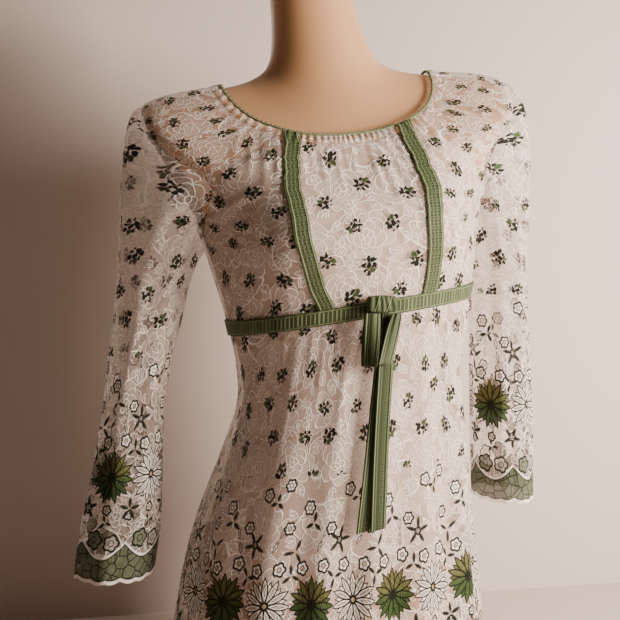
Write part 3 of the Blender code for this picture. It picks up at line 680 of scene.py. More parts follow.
# %% Creases of the bodice back
BACK_CREASES = (
    (-8.2, 65.4, -8.6, 60.0, 0.34, 0.15),
    (-6.4, 65.2, -6.8, 61.6, 0.28, 0.13),
    (-4.9, 65.1, -5.0, 59.2, 0.34, 0.16),
    (-3.4, 65.0, -3.3, 62.0, 0.26, 0.12),
    (-2.0, 65.0, -2.1, 60.4, 0.30, 0.14),
    (-0.6, 65.0, -0.4, 61.8, 0.26, 0.12),
    (0.9, 65.0, 1.2, 58.8, 0.34, 0.16),
    (2.3, 65.0, 2.4, 61.4, 0.26, 0.12),
    (3.8, 65.1, 4.1, 60.2, 0.32, 0.14),
    (5.4, 65.1, 5.5, 62.2, 0.26, 0.12),
    (6.9, 65.2, 7.4, 59.6, 0.34, 0.15),
    (8.6, 65.4, 9.0, 61.8, 0.30, 0.12),
    (-15.0, 55.0, -8.6, 58.4, 0.55, 0.16),
    (15.0, 54.4, 9.0, 57.4, 0.55, 0.15),
    (-12.4, 46.0, -5.0, 50.2, 0.60, 0.14),
    (12.8, 46.2, 6.2, 49.4, 0.60, 0.13),
    (-6.6, 45.0, -7.2, 49.0, 0.28, 0.09),
    (-2.4, 45.0, -2.0, 48.4, 0.26, 0.08),
    (1.8, 45.0, 2.2, 49.6, 0.28, 0.09),
    (5.8, 45.0, 5.4, 48.2, 0.26, 0.08),
)

# %% [markdown]
# The tight gathers of the casing run on into the top of the bodice and fade within two centimetres.
# Their spacing drifts, because elastic never draws cloth up evenly.

# %% Lay the bodice
GATHERS = 84
GATHER_RISE = 0.085
GATHER_FADE = 0.28


def gather_rise(angle):
    phase = GATHERS * angle + 1.7 * math.sin(5 * angle + 1.0) + 1.1 * math.sin(13 * angle + 2.0)
    strength = 0.75 + 0.25 * math.sin(9 * angle + 0.6)
    return GATHER_RISE * strength * math.cos(phase)


def bodice_lift(angle, station):
    """How far the creases and gathers lift the lace, and the trims that lie on it."""
    flat = body_point(angle, station)
    creases = FRONT_CREASES if math.cos(angle) > 0 else BACK_CREASES
    fade = math.exp(-(NECKLINE - 0.3 - min(station, NECKLINE - 0.3)) / GATHER_FADE)
    quiet = 1 - 0.6 * shoulder_share(angle, station)
    return (crease_rise(creases, flat.x, flat.z) + gather_rise(angle) * fade) * quiet


def bodice_place(middle, cut):
    def place(s, t):
        station = BAND + (NECKLINE - BAND) * t
        edge = side_angle(station, cut)
        angle = middle + (2 * s - 1) * edge
        lying = bodice_station(angle, station)
        return stance(lace_point(angle, lying, bodice_lift(angle, lying)))

    return place


bodice_front = sheet("lace_bodice_front", 210, 170, bodice_place(0.0, ARMHOLE_FRONT))
bodice_back = sheet("lace_bodice_back", 170, 150, bodice_place(math.pi, ARMHOLE_BACK))
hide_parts("bodice_front")
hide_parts("bodice_back")

# %% [markdown]
# ## The skirt
#
# The skirt is gathered a little into the waist seam. Its large folds are the solid's own. Finer
# creases start at the seam, most of them short and a few of them long, and the hem is cut in small
# scallops that sit in wider ones. Creases are drawn on the skirt rolled out flat.

# %% Creases of the skirt
SKIRT_ROLL = 13.0
SKIRT_CREASES = (
    (-19.0, 43.4, -19.6, 34.0, 0.50, 0.16),
    (-17.2, 43.4, -17.4, 38.6, 0.34, 0.12),
    (-15.4, 43.4, -16.2, 30.0, 0.55, 0.18),
    (-13.6, 43.4, -13.8, 39.4, 0.32, 0.12),
    (-12.0, 43.4, -12.6, 33.6, 0.46, 0.15),
    (-10.3, 43.4, -10.4, 39.8, 0.30, 0.11),
    (-8.8, 43.4, -9.6, 26.0, 0.60, 0.20),
    (-7.1, 43.4, -7.2, 38.8, 0.32, 0.12),
    (-5.6, 43.4, -5.8, 34.4, 0.42, 0.14),
    (-4.1, 43.4, -4.2, 39.2, 0.30, 0.12),
    (-2.6, 43.4, -3.2, 29.6, 0.50, 0.16),
    (-1.1, 43.4, -1.2, 40.0, 0.28, 0.10),
    (0.6, 43.4, 0.8, 37.0, 0.36, 0.12),
    (2.1, 43.4, 2.4, 33.0, 0.42, 0.13),
    (4.6, 43.4, 4.8, 38.8, 0.32, 0.12),
    (6.4, 43.4, 7.0, 28.0, 0.55, 0.18),
    (8.2, 43.4, 8.4, 39.0, 0.32, 0.12),
    (9.9, 43.4, 10.4, 33.0, 0.45, 0.15),
    (11.6, 43.4, 11.8, 39.4, 0.30, 0.11),
    (13.2, 43.4, 14.0, 27.6, 0.60, 0.18),
    (15.0, 43.4, 15.2, 38.4, 0.34, 0.12),
    (16.9, 43.4, 17.4, 32.4, 0.50, 0.16),
    (18.8, 43.4, 19.0, 38.8, 0.34, 0.12),
    (21.6, 43.4, 22.2, 30.4, 0.56, 0.17),
    (24.2, 43.4, 24.4, 38.6, 0.34, 0.12),
    (26.8, 43.4, 27.4, 27.6, 0.60, 0.18),
    (29.4, 43.4, 29.6, 37.8, 0.36, 0.12),
    (32.0, 43.4, 32.6, 31.6, 0.52, 0.16),
    (34.9, 43.4, 35.0, 38.4, 0.34, 0.12),
    (37.4, 43.4, 38.2, 26.6, 0.60, 0.18),
    (40.3, 43.4, 40.8, 35.4, 0.44, 0.14),
    (43.1, 43.4, 43.6, 30.2, 0.56, 0.17),
    (46.2, 43.4, 46.2, 37.8, 0.36, 0.12),
    (49.0, 43.4, 49.8, 28.4, 0.60, 0.18),
    (52.0, 43.4, 52.2, 37.0, 0.38, 0.13),
    (55.4, 43.4, 56.2, 31.6, 0.52, 0.16),
    (58.6, 43.4, 58.8, 38.0, 0.36, 0.12),
    (-14.6, 26.0, -16.2, 9.0, 0.80, 0.18),
    (-6.4, 24.0, -7.4, 8.0, 0.70, 0.16),
    (1.6, 22.0, 1.2, 8.6, 0.70, 0.15),
    (8.8, 25.0, 10.4, 8.2, 0.80, 0.20),
    (17.4, 24.0, 18.8, 8.0, 0.80, 0.18),
    (28.6, 24.0, 29.4, 8.4, 0.80, 0.18),
    (41.4, 23.0, 42.6, 8.0, 0.80, 0.18),
    (53.4, 25.0, 54.2, 8.6, 0.80, 0.18),
)

# %% Lay the skirt and cut its scallops
BORDER = 5.3
LOBE = BORDER / 3
LOBE_DEPTH = 0.18
ARC_DEPTH = 0.22
SCALLOP_REACH = 1.6
SEAM_TOP = 43.98
SEAM_BLEND = 1.1


def scallop_rise(along):
    lobe = 1 - abs(math.cos(math.pi * along / LOBE))
    arc = 1 - abs(math.cos(math.pi * along / BORDER))
    return LOBE_DEPTH * lobe + ARC_DEPTH * arc


def scallops(points, along, up):
    """Lifts the lowest points into scallops, and leaves the cloth above them in place."""
    for c in range(points.shape[0]):
        rise = scallop_rise(along[c, 0])
        for r in range(points.shape[1]):
            near = 1 - up[c, r] / SCALLOP_REACH
            if near <= 0:
                break
            points[c, r, 2] += rise * near
            up[c, r] += rise * near
    return points


def skirt_place(start, end):
    hem = SKIRT_ROWS[-1][0]

    def place(s, t):
        angle = start + (end - start) * s
        z = hem + (SEAM_TOP - hem) * t
        roll = angle * SKIRT_ROLL
        lift = crease_rise(SKIRT_CREASES, roll, z)
        hanging = skirt_point(angle, z, lift)
        share = min(max((z - SEAM_TOP + 0.5 + SEAM_BLEND) / SEAM_BLEND, 0.0), 1.0)
        share = share * share * (3 - 2 * share)
        if share:
            hanging = hanging.lerp(waist_point(angle, z, lift * (1 - share) - SKIRT_TUCK), share)
        return stance(hanging)

    return place


skirt_front = sheet("lace_skirt_front", 220, 190, skirt_place(-SIDE, SIDE), even=True, rim=scallops)
skirt_back = sheet("lace_skirt_back", 220, 190, skirt_place(SIDE, 3 * SIDE), even=True, rim=scallops)
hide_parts("skirt_front")
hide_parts("skirt_back")

# %% [markdown]
# ## The sleeves
#
# The sleeves are single tubes of sheer lace. Long soft folds run down them, and shorter creases cross
# inside the elbow and at the sleeve head. Creases are drawn on the sleeve rolled out flat, with the
# distance round it from the outer side by the front, and the height.

# %% Creases of the sleeves
SLEEVE_ROLL = 4.6
SLEEVE_CREASES = (
    (2.0, 64.0, 3.4, 52.0, 0.55, 0.20),
    (4.4, 62.0, 5.4, 50.0, 0.50, 0.18),
    (7.0, 60.0, 7.4, 48.0, 0.50, 0.18),
    (9.4, 58.0, 8.8, 46.0, 0.50, 0.18),
    (12.2, 50.0, 7.4, 44.4, 0.45, 0.20),
    (12.6, 46.0, 7.0, 41.0, 0.42, 0.18),
    (11.8, 41.6, 6.2, 39.2, 0.40, 0.16),
    (11.0, 37.0, 6.8, 35.2, 0.38, 0.14),
    (6.0, 44.0, 4.2, 26.0, 0.60, 0.22),
    (3.2, 40.0, 2.4, 24.0, 0.50, 0.18),
    (9.0, 36.0, 9.6, 22.0, 0.55, 0.20),
    (1.0, 50.0, 0.6, 34.0, 0.55, 0.18),
    (6.8, 28.0, 7.4, 18.0, 0.50, 0.20),
    (4.6, 25.0, 4.2, 17.0, 0.45, 0.16),
    (16.0, 56.0, 15.2, 40.0, 0.60, 0.18),
    (19.4, 60.0, 18.8, 42.0, 0.60, 0.20),
    (22.8, 60.0, 23.2, 40.0, 0.60, 0.20),
    (26.2, 62.0, 25.8, 46.0, 0.55, 0.18),
    (14.6, 36.0, 16.2, 22.0, 0.55, 0.18),
    (20.2, 36.0, 20.8, 20.0, 0.60, 0.20),
    (25.0, 36.0, 24.2, 22.0, 0.55, 0.18),
)

# %% Lay the sleeves
SLEEVE_SIDES = 20
ARMHOLE_STEPS = 10


def armhole_edge(k):
    """A point of the left armhole's edge, k running from the shoulder down its front and up its back."""
    down = min(k, SLEEVE_SIDES - k)
    share = 1 - down / ARMHOLE_STEPS
    eased = (1 - math.cos(math.pi * share)) / 2
    station = BUST + (ARMHOLE_TOP - BUST) * (share + eased) / 2
    front = k <= ARMHOLE_STEPS
    side = side_angle(station, ARMHOLE_FRONT if front else ARMHOLE_BACK)
    angle = side if front else math.pi - side
    return lace_point(angle, bodice_station(angle, station), 0.0)


def sleeve_place(side, rows, head):
    top_z = rows[0][0]
    cuff_z = rows[-1][0]
    drop = rows[0][0] - RIGHT_SLEEVE[0][0]

    def place(s, t):
        around = s if side < 0 else 1 - s
        k = SLEEVE_SIDES * around
        turn = 2 * math.pi * around
        down = 1 - t
        if down < HEAD_PART:
            start = armhole_edge(k)
            start.x *= side
            start = stance(start)
            end = sleeve_section(side, rows, turn, top_z, HEAD_SHARE)
            span = (end - start).length
            reach = HEAD_LEAST + (head - HEAD_LEAST) * max(math.cos(turn), 0.0) ** 2
            leave = Vector((side, 0, HEAD_RISE)) * reach
            arrive = Vector((side * HEAD_SLANT, 0, -1)) * span * 0.9
            share = down / HEAD_PART
            h = share ** HEAD_BUNCH
            point = start * (2 * h**3 - 3 * h**2 + 1) + leave * (h**3 - 2 * h**2 + h)
            point += end * (3 * h**2 - 2 * h**3) + arrive * (h**3 - h**2)
            bulge = sleeve_fold(turn, h * HEAD_SHARE) * 4 * h * (1 - h) * HEAD_FOLDS
            free = h
        else:
            share = (down - HEAD_PART) / (1 - HEAD_PART)
            z = top_z + (cuff_z - top_z) * share
            point = sleeve_section(side, rows, turn, z, HEAD_SHARE + (1 - HEAD_SHARE) * share)
            bulge = 0.0
            free = 1.0
        bulge += crease_rise(SLEEVE_CREASES, turn * SLEEVE_ROLL, point.z - drop) * free
        return point + Vector((side * math.cos(turn), -math.sin(turn), 0)) * bulge

    return place


right_place = sleeve_place(-1, RIGHT_SLEEVE, RIGHT_HEAD)
left_place = sleeve_place(1, LEFT_SLEEVE, LEFT_HEAD)
sleeve_right = sheet("lace_sleeve_right", 150, 260, right_place, closed=True, even=True, centre=0.0, rim=scallops)
sleeve_left = sheet("lace_sleeve_left", 150, 260, left_place, closed=True, even=True, centre=0.0, rim=scallops)
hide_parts("sleeve_right")
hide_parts("sleeve_left")

# %% [markdown]
# ## The gathered casing
#
# A narrow casing with elastic in it finishes the neckline. Its ruffles stand in step with the gathers
# of the lace below it, and they are deepest along its middle.

# %% Lay the casing
CASING_PUFF = 0.07


def casing_place(s, t):
    angle = 2 * math.pi * s - math.pi
    station = top_station(angle)
    low = lace_point(angle, station, bodice_lift(angle, station))
    high = lace_point(angle, NECKLINE, gather_rise(angle) * 0.8)
    puff = (CASING_PUFF + gather_rise(angle) * 0.5) * math.sin(math.pi * t)
    return stance(low.lerp(high, t) + normal_of(body_point, angle, NECKLINE - 0.1) * puff)


casing = sheet("lace_casing", 900, 8, casing_place, closed=True)
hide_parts("neck_casing")

# %% [markdown]
# ## The picot edging
#
# A fine crochet edge runs along the neckline: a cord with a row of tiny loops on it. Each loop here is
# one wave of a second, thinner cord, because waves of a single swept tube stay light to draw.

# %% Sweep the edging's two cords
EDGING_CORD = 0.11
PICOT_CORD = 0.055
PICOTS = 148
PICOT_RISE = 0.24


def neckline_frame(angle):
    at = lace_point(angle, NECKLINE)
    rise = (at - lace_point(angle, NECKLINE - 0.1)).normalized()
    out = normal_of(body_point, angle, NECKLINE)
    return at, rise, out


def swept_cord(height, radius):
    """A tube round the neckline. height(angle) is how far its middle stands above the edge."""

    def place(s, t):
        angle = 2 * math.pi * s
        at, rise, out = neckline_frame(angle)
        turn = 2 * math.pi * t
        ring = (out * math.cos(turn) + rise * math.sin(turn)) * radius
        return stance(at + rise * height(angle) + ring)

    return place


def picot_height(angle):
    return EDGING_CORD + PICOT_RISE * abs(math.sin(PICOTS * angle / 2))


edging = sheet("edging_cord", 240, 8, swept_cord(lambda angle: EDGING_CORD, EDGING_CORD), closed=True)
picots = sheet("edging_picots", 1480, 6, swept_cord(picot_height, PICOT_CORD), closed=True)
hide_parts("neck_edging")

# %% [markdown]
# ## The ribbon trims
#
# Two straight ribbons run from the waist seam over the bust to the neckline. They lie on the lace and
# follow its creases, pucker a little where they are stitched, and wander slightly from side to side.

# %% Lay the front trims
TRIM_PUCKER = 0.035
TRIM_WANDER = 0.06
TRIM_WALL = 0.10


def trim_place(side):
    def place(s, t):
        station = BAND + 0.10 + (NECKLINE - BAND - 0.12) * t
        middle = trim_lines_at(station)[0 if side < 0 else 1]
        wander = TRIM_WANDER * math.sin(21 * t + side) + 0.5 * TRIM_WANDER * math.sin(57 * t + 2 * side)
        across = (2 * s - 1) * TRIM_WIDTH / 2
        distance = middle + wander + across * side
        angle = side * angle_at(distance, station)
        lying = bodice_station(angle, station) if station < NECKLINE - 1 else station
        share = min(max((station - NECKLINE + 1) / 1, 0.0), 1.0)
        lying = lying * (1 - share) + station * share
        edge = (2 * s - 1) ** 2
        pucker = TRIM_PUCKER * edge * math.sin(110 * t + 3 * side + 2 * s)
        over = max(bodice_lift(angle, min(lying, top_station(angle))), -0.02)
        return stance(lace_point(angle, lying, over + TRIM_LIFT + pucker + 0.10 * share))

    return place


trim_right = sheet("ribbon_trim_right", 16, 240, trim_place(-1), wall=0.06)
trim_left = sheet("ribbon_trim_left", 16, 240, trim_place(1), wall=0.06)
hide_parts("trim_right")
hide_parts("trim_left")

# %% [markdown]
# ## The waist trim
#
# A ladder ribbon covers the waist seam all round. It is laid from the figure's own level sections,
# one ribbon's thickness out from the lace.

# %% Lay the waist trim
BAND_LOW = 43.5
BAND_LIFT = 0.20
BAND_RIPPLE = 0.03


def band_place(s, t):
    angle = 2 * math.pi * s - math.pi
    z = BAND_LOW + TRIM_WIDTH * t
    ripple = BAND_RIPPLE * math.sin(70 * angle) * (2 * t - 1) ** 2
    ripple += 0.5 * BAND_RIPPLE * math.sin(23 * angle + 1.2)
    return stance(waist_point(angle, z, BAND_LIFT + ripple))


waist_trim = sheet("ribbon_waist", 420, 12, band_place, closed=True, wall=0.06)
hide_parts("waist_trim")

# %% [markdown]
# ## The bow
#
# A flat bow of the same ribbon hangs from the waist seam: two limp loops that fall down instead of
# standing out, and two long tails side by side. Each is a strip of cloth with a slight twist, since
# ribbon never hangs quite flat.

# %% Hang the loops
BOW_X = 3.3
BOW_TOP_Z = 43.8
BOW_ANGLE = math.radians(5.0)
BOW_GAP = 0.82
RIBBON_WALL = 0.10
LOOP_HOLLOW = 0.25
LOOP_FALL = 0.09
LOOPS = (
    ("bow_loop_right", 2.3, 1.65, 5.2, -0.09, 0.90, 48.0),
    ("bow_loop_left", 4.75, 1.5, 5.0, -0.27, 0.60, -12.0),
)


def bow_rest_y():
    return waist_point(BOW_ANGLE, BOW_TOP_Z, 0.21).y


def loop_place(middle_x, width, length, lean, pinch, turned):
    back_y = bow_rest_y() - BOW_GAP - RIBBON_WALL
    straight = length - LOOP_HOLLOW
    bend = math.pi * LOOP_HOLLOW
    total = 2 * straight + bend

    def place(s, t):
        along = total * (1 - t)
        if along < straight:
            drop, out = along, 2 * LOOP_HOLLOW
        elif along > straight + bend:
            drop, out = total - along, 0.0
        else:
            turn = (along - straight) / LOOP_HOLLOW
            drop = straight + LOOP_HOLLOW * math.sin(turn)
            out = LOOP_HOLLOW * (1 + math.cos(turn))
        spread = pinch + (1 - pinch) * min(drop / (0.5 * length), 1.0)
        across = (s - 0.5) * width * spread
        facing = math.radians(turned) * drop / length
        x = middle_x + lean * drop + across * math.cos(facing)
        y = back_y - out - LOOP_FALL * drop - across * math.sin(facing)
        pleat = 0.06 * math.cos(3 * math.pi * (s - 0.5)) * (1 - drop / length)
        return Vector((x, y - pleat, BOW_TOP_Z - drop))

    return place


bow_pieces = []
for name, *values in LOOPS:
    loop = sheet("ribbon_" + name, 14, 120, loop_place(*values), wall=0.05)
    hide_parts(name)
    bow_pieces.append(loop)

# %% Hang the tails
TAIL_TOP_Z = 43.8
TAIL_TOP_Y = -11.4
TAIL_END_Y = -13.25
TAILS = (
    ("bow_tail_right", 4.2, 1.2, 1.55, 22.5, 0.0, 0.3),
    ("bow_tail_left", 4.1, 2.5, 1.55, 22.7, 0.3, 1.9),
)


def tail_place(top_x, bottom_x, width, bottom_z, forward, phase):
    def place(s, t):
        z = bottom_z + (TAIL_TOP_Z - bottom_z) * t
        z += 0.35 * (s - 0.5) * max(1 - t * 8, 0.0)
        sway = 0.05 * math.sin(6 * t + phase)
        x = bottom_x + (top_x - bottom_x) * t + (s - 0.5) * width + sway
        y = TAIL_END_Y + (TAIL_TOP_Y - TAIL_END_Y) * t - forward
        y -= 0.05 * math.sin(9 * t + phase) * (1 - t) + 0.04 * (2 * s - 1) ** 2
        return Vector((x, y, z))

    return place


for name, *values in TAILS:
    tail = sheet("ribbon_" + name, 12, 200, tail_place(*values), wall=0.05)
    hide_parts(name)
    bow_pieces.append(tail)

# %% Gather the knot
KNOT_SIZE = (3.2, 1.4, 1.75)
KNOT_OUT = 0.92
KNOT_Z = 44.725

knot_mesh = bmesh.new()
bmesh.ops.create_cube(knot_mesh, size=1.0)
bmesh.ops.subdivide_edges(knot_mesh, edges=knot_mesh.edges[:], cuts=27, use_grid_fill=True)
for vert in knot_mesh.verts:
    p = vert.co * 2
    q = Vector((
        p.x * math.sqrt(1 - p.y**2 / 2 - p.z**2 / 2 + p.y**2 * p.z**2 / 3),
        p.y * math.sqrt(1 - p.z**2 / 2 - p.x**2 / 2 + p.z**2 * p.x**2 / 3),
        p.z * math.sqrt(1 - p.x**2 / 2 - p.y**2 / 2 + p.x**2 * p.y**2 / 3),
    ))
    q = p.lerp(q, 0.5) / 2
    fan = q.x / (1.0 - 0.25 * q.z) + 0.05 * q.z
    pleats = 1 - 0.07 * (1 - math.cos(34 * fan + 0.8 * math.sin(9 * fan)))
    vert.co = Vector((q.x * KNOT_SIZE[0], q.y * KNOT_SIZE[1] * pleats, q.z * KNOT_SIZE[2]))
knot_uv = knot_mesh.loops.layers.uv.new("cloth")
for face in knot_mesh.faces:
    for loop in face.loops:
        x, _, z = loop.vert.co
        loop[knot_uv].uv = ((x - 0.35 * z) * CM, z * CM)
knot_at = Vector((BOW_X, bow_rest_y() - KNOT_OUT, KNOT_Z))
bmesh.ops.scale(knot_mesh, verts=knot_mesh.verts, vec=Vector((CM, CM, CM)))
bmesh.ops.translate(knot_mesh, verts=knot_mesh.verts, vec=knot_at * CM)
knot = add_piece("ribbon_bow_knot", knot_mesh)
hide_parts("bow_knot")

# %% [markdown]
# ## Patterns as sums of node values
#
# Lace and print are drawn with Math nodes, so they stay sharp at any size and can be changed by a
# number. To keep the formulas readable, a small class stands for one changing value in a node tree and
# turns plus, minus and times into Math nodes. Lengths in the patterns are centimetres on the cloth.

# %% A changing value
class Value:
    """A number that changes over the surface, kept as a node socket."""

    def __init__(self, tree, socket):
        self.tree = tree
        self.socket = socket

    def math(self, operation, *others):
        node = self.tree.nodes.new("ShaderNodeMath")
        node.operation = operation
        for socket, value in zip(node.inputs, (self, *others)):
            put(self.tree, socket, value)
        return Value(self.tree, node.outputs[0])

    def __add__(self, other):
        return self.math("ADD", other)

    def __sub__(self, other):
        return self.math("SUBTRACT", other)

    def __mul__(self, other):
        return self.math("MULTIPLY", other)

    def __truediv__(self, other):
        return self.math("DIVIDE", other)

    def __neg__(self):
        return self.math("MULTIPLY", -1.0)

    def __abs__(self):
        return self.math("ABSOLUTE")

    def over(self, edge, soft=0.03):
        """1 where the value is above the edge, 0 below it, and soft in between."""
        node = self.tree.nodes.new("ShaderNodeMapRange")
        put(self.tree, node.inputs["Value"], self)
        node.inputs["From Min"].default_value = edge - soft
        node.inputs["From Max"].default_value = edge + soft
        return Value(self.tree, node.outputs["Result"])

    def line(self, half, soft=0.03):
        """1 within a half width of nought."""
        return (abs(self) * -1.0).over(-half, soft)

    def most(self, *others):
        total = self
        for other in others:
            total = total.math("MAXIMUM", other)
        return total

    def wave(self, period):
        return (self * (2 * math.pi / period)).math("COSINE")


def put(tree, socket, value):
    if isinstance(value, Value):
        tree.links.new(value.socket, socket)
    elif isinstance(value, bpy.types.NodeSocket):
        tree.links.new(value, socket)
    else:
        socket.default_value = value


# %% Node groups
def new_group(name, takes, gives):
    """A node group, with its inputs as values and a function that sets its outputs."""
    tree = bpy.data.node_groups.new(name, "ShaderNodeTree")
    for label, default in takes.items():
        kind = "NodeSocketVector" if default is None else "NodeSocketFloat"
        socket = tree.interface.new_socket(label, in_out="INPUT", socket_type=kind)
        if default is not None:
            socket.default_value = default
    for label in gives:
        tree.interface.new_socket(label, in_out="OUTPUT", socket_type="NodeSocketFloat")
    enter = tree.nodes.new("NodeGroupInput")
    leave = tree.nodes.new("NodeGroupOutput")
    values = [Value(tree, enter.outputs[label]) for label in takes]

    def give(**results):
        for label, value in results.items():
            put(tree, leave.inputs[label], value)

    return tree, values, give


def use(tree, group, *values):
    """Places a group in a tree and returns its outputs as values."""
    node = tree.nodes.new("ShaderNodeGroup")
    node.node_tree = group
    for socket, value in zip(node.inputs, values):
        put(tree, socket, value)
    return [Value(tree, socket) for socket in node.outputs]


def split(tree, vector):
    node = tree.nodes.new("ShaderNodeSeparateXYZ")
    put(tree, node.inputs[0], vector)
    return Value(tree, node.outputs[0]), Value(tree, node.outputs[1])


def vector_of(tree, x, y):
    node = tree.nodes.new("ShaderNodeCombineXYZ")
    put(tree, node.inputs[0], x)
    put(tree, node.inputs[1], y)
    return node.outputs[0]


# %% [markdown]
# ## Simple shapes
#
# Four shapes make every motif: a pointed leaf, a ring of pointed petals, a ring with round lobes and
# a scatter of cells. A leaf's depth is how far a point lies inside it, so one value gives both its
# filling and its outline. The petals come from one leaf, by folding the angle into equal sectors.

# %% A leaf
leaf, (x, y, at_x, at_y, turn, length, width), give = new_group(
    "leaf", {"X": 0.0, "Y": 0.0, "At X": 0.0, "At Y": 0.0, "Turn": 0.0, "Length": 1.0, "Width": 0.3}, ["Depth"]
)
dx, dy = x - at_x, y - at_y
cos, sin = turn.math("COSINE"), turn.math("SINE")
along = (dx * cos + dy * sin) / length * 2.0
across = abs(dy * cos - dx * sin)
give(Depth=(-(along * along) + 1.0) * width * 0.5 - across)

# %% A ring of petals
petals, (x, y, count, inner, outer, width, turn), give = new_group(
    "petals", {"X": 0.0, "Y": 0.0, "Count": 8.0, "Inner": 0.2, "Outer": 1.0, "Width": 0.3, "Turn": 0.0}, ["Depth"]
)
radius = (x * x + y * y).math("SQRT")
sector = count.math("POWER", -1.0) * (2 * math.pi)
angle = (y.math("ARCTAN2", x) + turn).math("WRAP", sector * 0.5, sector * -0.5)
along = (radius * angle.math("COSINE") - (inner + outer) * 0.5) / ((outer - inner) * 0.5)
across = abs(radius * angle.math("SINE"))
give(Depth=(-(along * along) + 1.0) * width * 0.5 - across)

# %% A ring with round lobes
ring, (x, y, size, lobes, wave), give = new_group(
    "ring", {"X": 0.0, "Y": 0.0, "Radius": 0.5, "Lobes": 5.0, "Wave": 0.12}, ["Depth", "Distance", "Crease"]
)
radius = (x * x + y * y).math("SQRT")
lobe = abs((y.math("ARCTAN2", x) * lobes * 0.5).math("COSINE"))
edge = ((lobe - 0.6) * wave * 2.0 + 1.0) * size
give(Depth=edge - radius, Distance=radius, Crease=lobe * radius * 2.0 / lobes)

# %% Cells in staggered rows, each with its own place and turn
scatter, (u, v, width, height, jitter, spin), give = new_group(
    "scatter", {"U": 0.0, "V": 0.0, "Width": 4.0, "Height": 4.0, "Jitter": 1.0, "Spin": 1.0}, ["X", "Y", "Chance"]
)
row = (v / height).math("FLOOR")
stagger = row.math("FLOORED_MODULO", 2.0) * 0.5
cell = (u / width + stagger).math("FLOOR")
noise = scatter.nodes.new("ShaderNodeTexWhiteNoise")
noise.noise_dimensions = "2D"
put(scatter, noise.inputs["Vector"], vector_of(scatter, cell, row))
chance = Value(scatter, noise.outputs["Value"])
shift_x, shift_y = split(scatter, noise.outputs["Color"])
x = u - (cell - stagger + 0.5) * width - (shift_x - 0.5) * jitter
y = v - (row + 0.5) * height - (shift_y - 0.5) * jitter
turn = (chance - 0.5) * spin * (2 * math.pi)
cos, sin = turn.math("COSINE"), turn.math("SINE")
give(X=x * cos + y * sin, Y=y * cos - x * sin, Chance=chance)

# %% Cells in a level row, each marked odd or even
row_of, (u, v, period, offset, height), give = new_group(
    "row", {"U": 0.0, "V": 0.0, "Period": 5.3, "Offset": 0.0, "Height": 10.0}, ["X", "Y", "Odd", "Chance"]
)
number = ((u - offset) / period).math("ROUND")
noise = row_of.nodes.new("ShaderNodeTexWhiteNoise")
noise.noise_dimensions = "2D"
put(row_of, noise.inputs["Vector"], vector_of(row_of, number, height))
give(
    X=u - offset - number * period,
    Y=v - height,
    Odd=number.math("FLOORED_MODULO", 2.0),
    Chance=Value(row_of, noise.outputs["Value"]),
)

# %% [markdown]
# ## The lace
#
# The lace has raised cords on a fine net. The cords outline roses about five centimetres wide, with
# hatched leaves round them, and small flowers and leaves between. Plain fields of net, edged with one
# bright cord, lie among them. A slow noise bends all of it and a faint quick one shakes the cords,
# because stretch lace is never regular.

# %% The lace's cords and net
ROSE_SPACING = (6.0, 5.4)
ROSE_RINGS = ((2.15, 6, 0.16, 0.0), (1.55, 5, 0.18, 0.5), (1.0, 5, 0.18, 1.2), (0.5, 3, 0.2, 0.3))
BUD_SPACING = (2.3, 2.1)
CORD_HALF = 0.062
THIN_HALF = 0.045

lace_group, (u, v), give = new_group("lace cords", {"U": 0.0, "V": 0.0}, ["Cord", "Net", "Fill"])


def lace_noise(scale, detail, at):
    node = lace_group.nodes.new("ShaderNodeTexNoise")
    node.inputs["Scale"].default_value = scale
    node.inputs["Detail"].default_value = detail
    put(lace_group, node.inputs["Vector"], at)
    return node


def lace_edges(scale, x, y):
    """Distance to the nearest border between cells, in centimetres."""
    node = lace_group.nodes.new("ShaderNodeTexVoronoi")
    node.feature = "DISTANCE_TO_EDGE"
    node.voronoi_dimensions = "2D"
    node.inputs["Scale"].default_value = scale
    put(lace_group, node.inputs["Vector"], vector_of(lace_group, x, y))
    return Value(lace_group, node.outputs["Distance"]) / scale


slow_x, slow_y = split(lace_group, lace_noise(0.24, 1.0, vector_of(lace_group, u, v)).outputs["Color"])
quick_x, quick_y = split(lace_group, lace_noise(1.5, 1.0, vector_of(lace_group, v, u)).outputs["Color"])
bent_u = u + (slow_x - 0.5) * 2.6 + (quick_x - 0.5) * 0.22
bent_v = v + (slow_y - 0.5) * 2.6 + (quick_y - 0.5) * 0.22

# %% Roses and their leaves
rose_x, rose_y, chance = use(lace_group, scatter, bent_u, bent_v, *ROSE_SPACING, 0.9, 1.0)
rose_lines, in_ring = None, None
for size, lobes, wave, turn in ROSE_RINGS:
    cos, sin = math.cos(turn), math.sin(turn)
    turned_x = rose_x * cos + rose_y * sin
    turned_y = rose_y * cos - rose_x * sin
    depth, distance, crease = use(lace_group, ring, turned_x, turned_y, size, float(lobes), wave)
    inside = depth.over(0.0, 0.02)
    drawn = depth.line(CORD_HALF, 0.035).most(crease.line(THIN_HALF, 0.03) * inside)
    rose_lines = drawn if rose_lines is None else (rose_lines * (-inside + 1.0)).most(drawn)
    in_rose = inside if in_ring is None else in_rose
    in_ring = inside

leaf_ring, = use(lace_group, petals, rose_x, rose_y, 7.0, 2.3, 3.8, 1.05, 0.2)
hatch = (rose_x * 0.8 + rose_y * 0.6).wave(0.36).over(0.3, 0.4) * leaf_ring.over(0.04, 0.04)
leaf_lines = leaf_ring.line(CORD_HALF, 0.035).most((leaf_ring - 0.46).line(THIN_HALF, 0.03), hatch * 0.7)
in_leaf = leaf_ring.over(-0.05, 0.03)

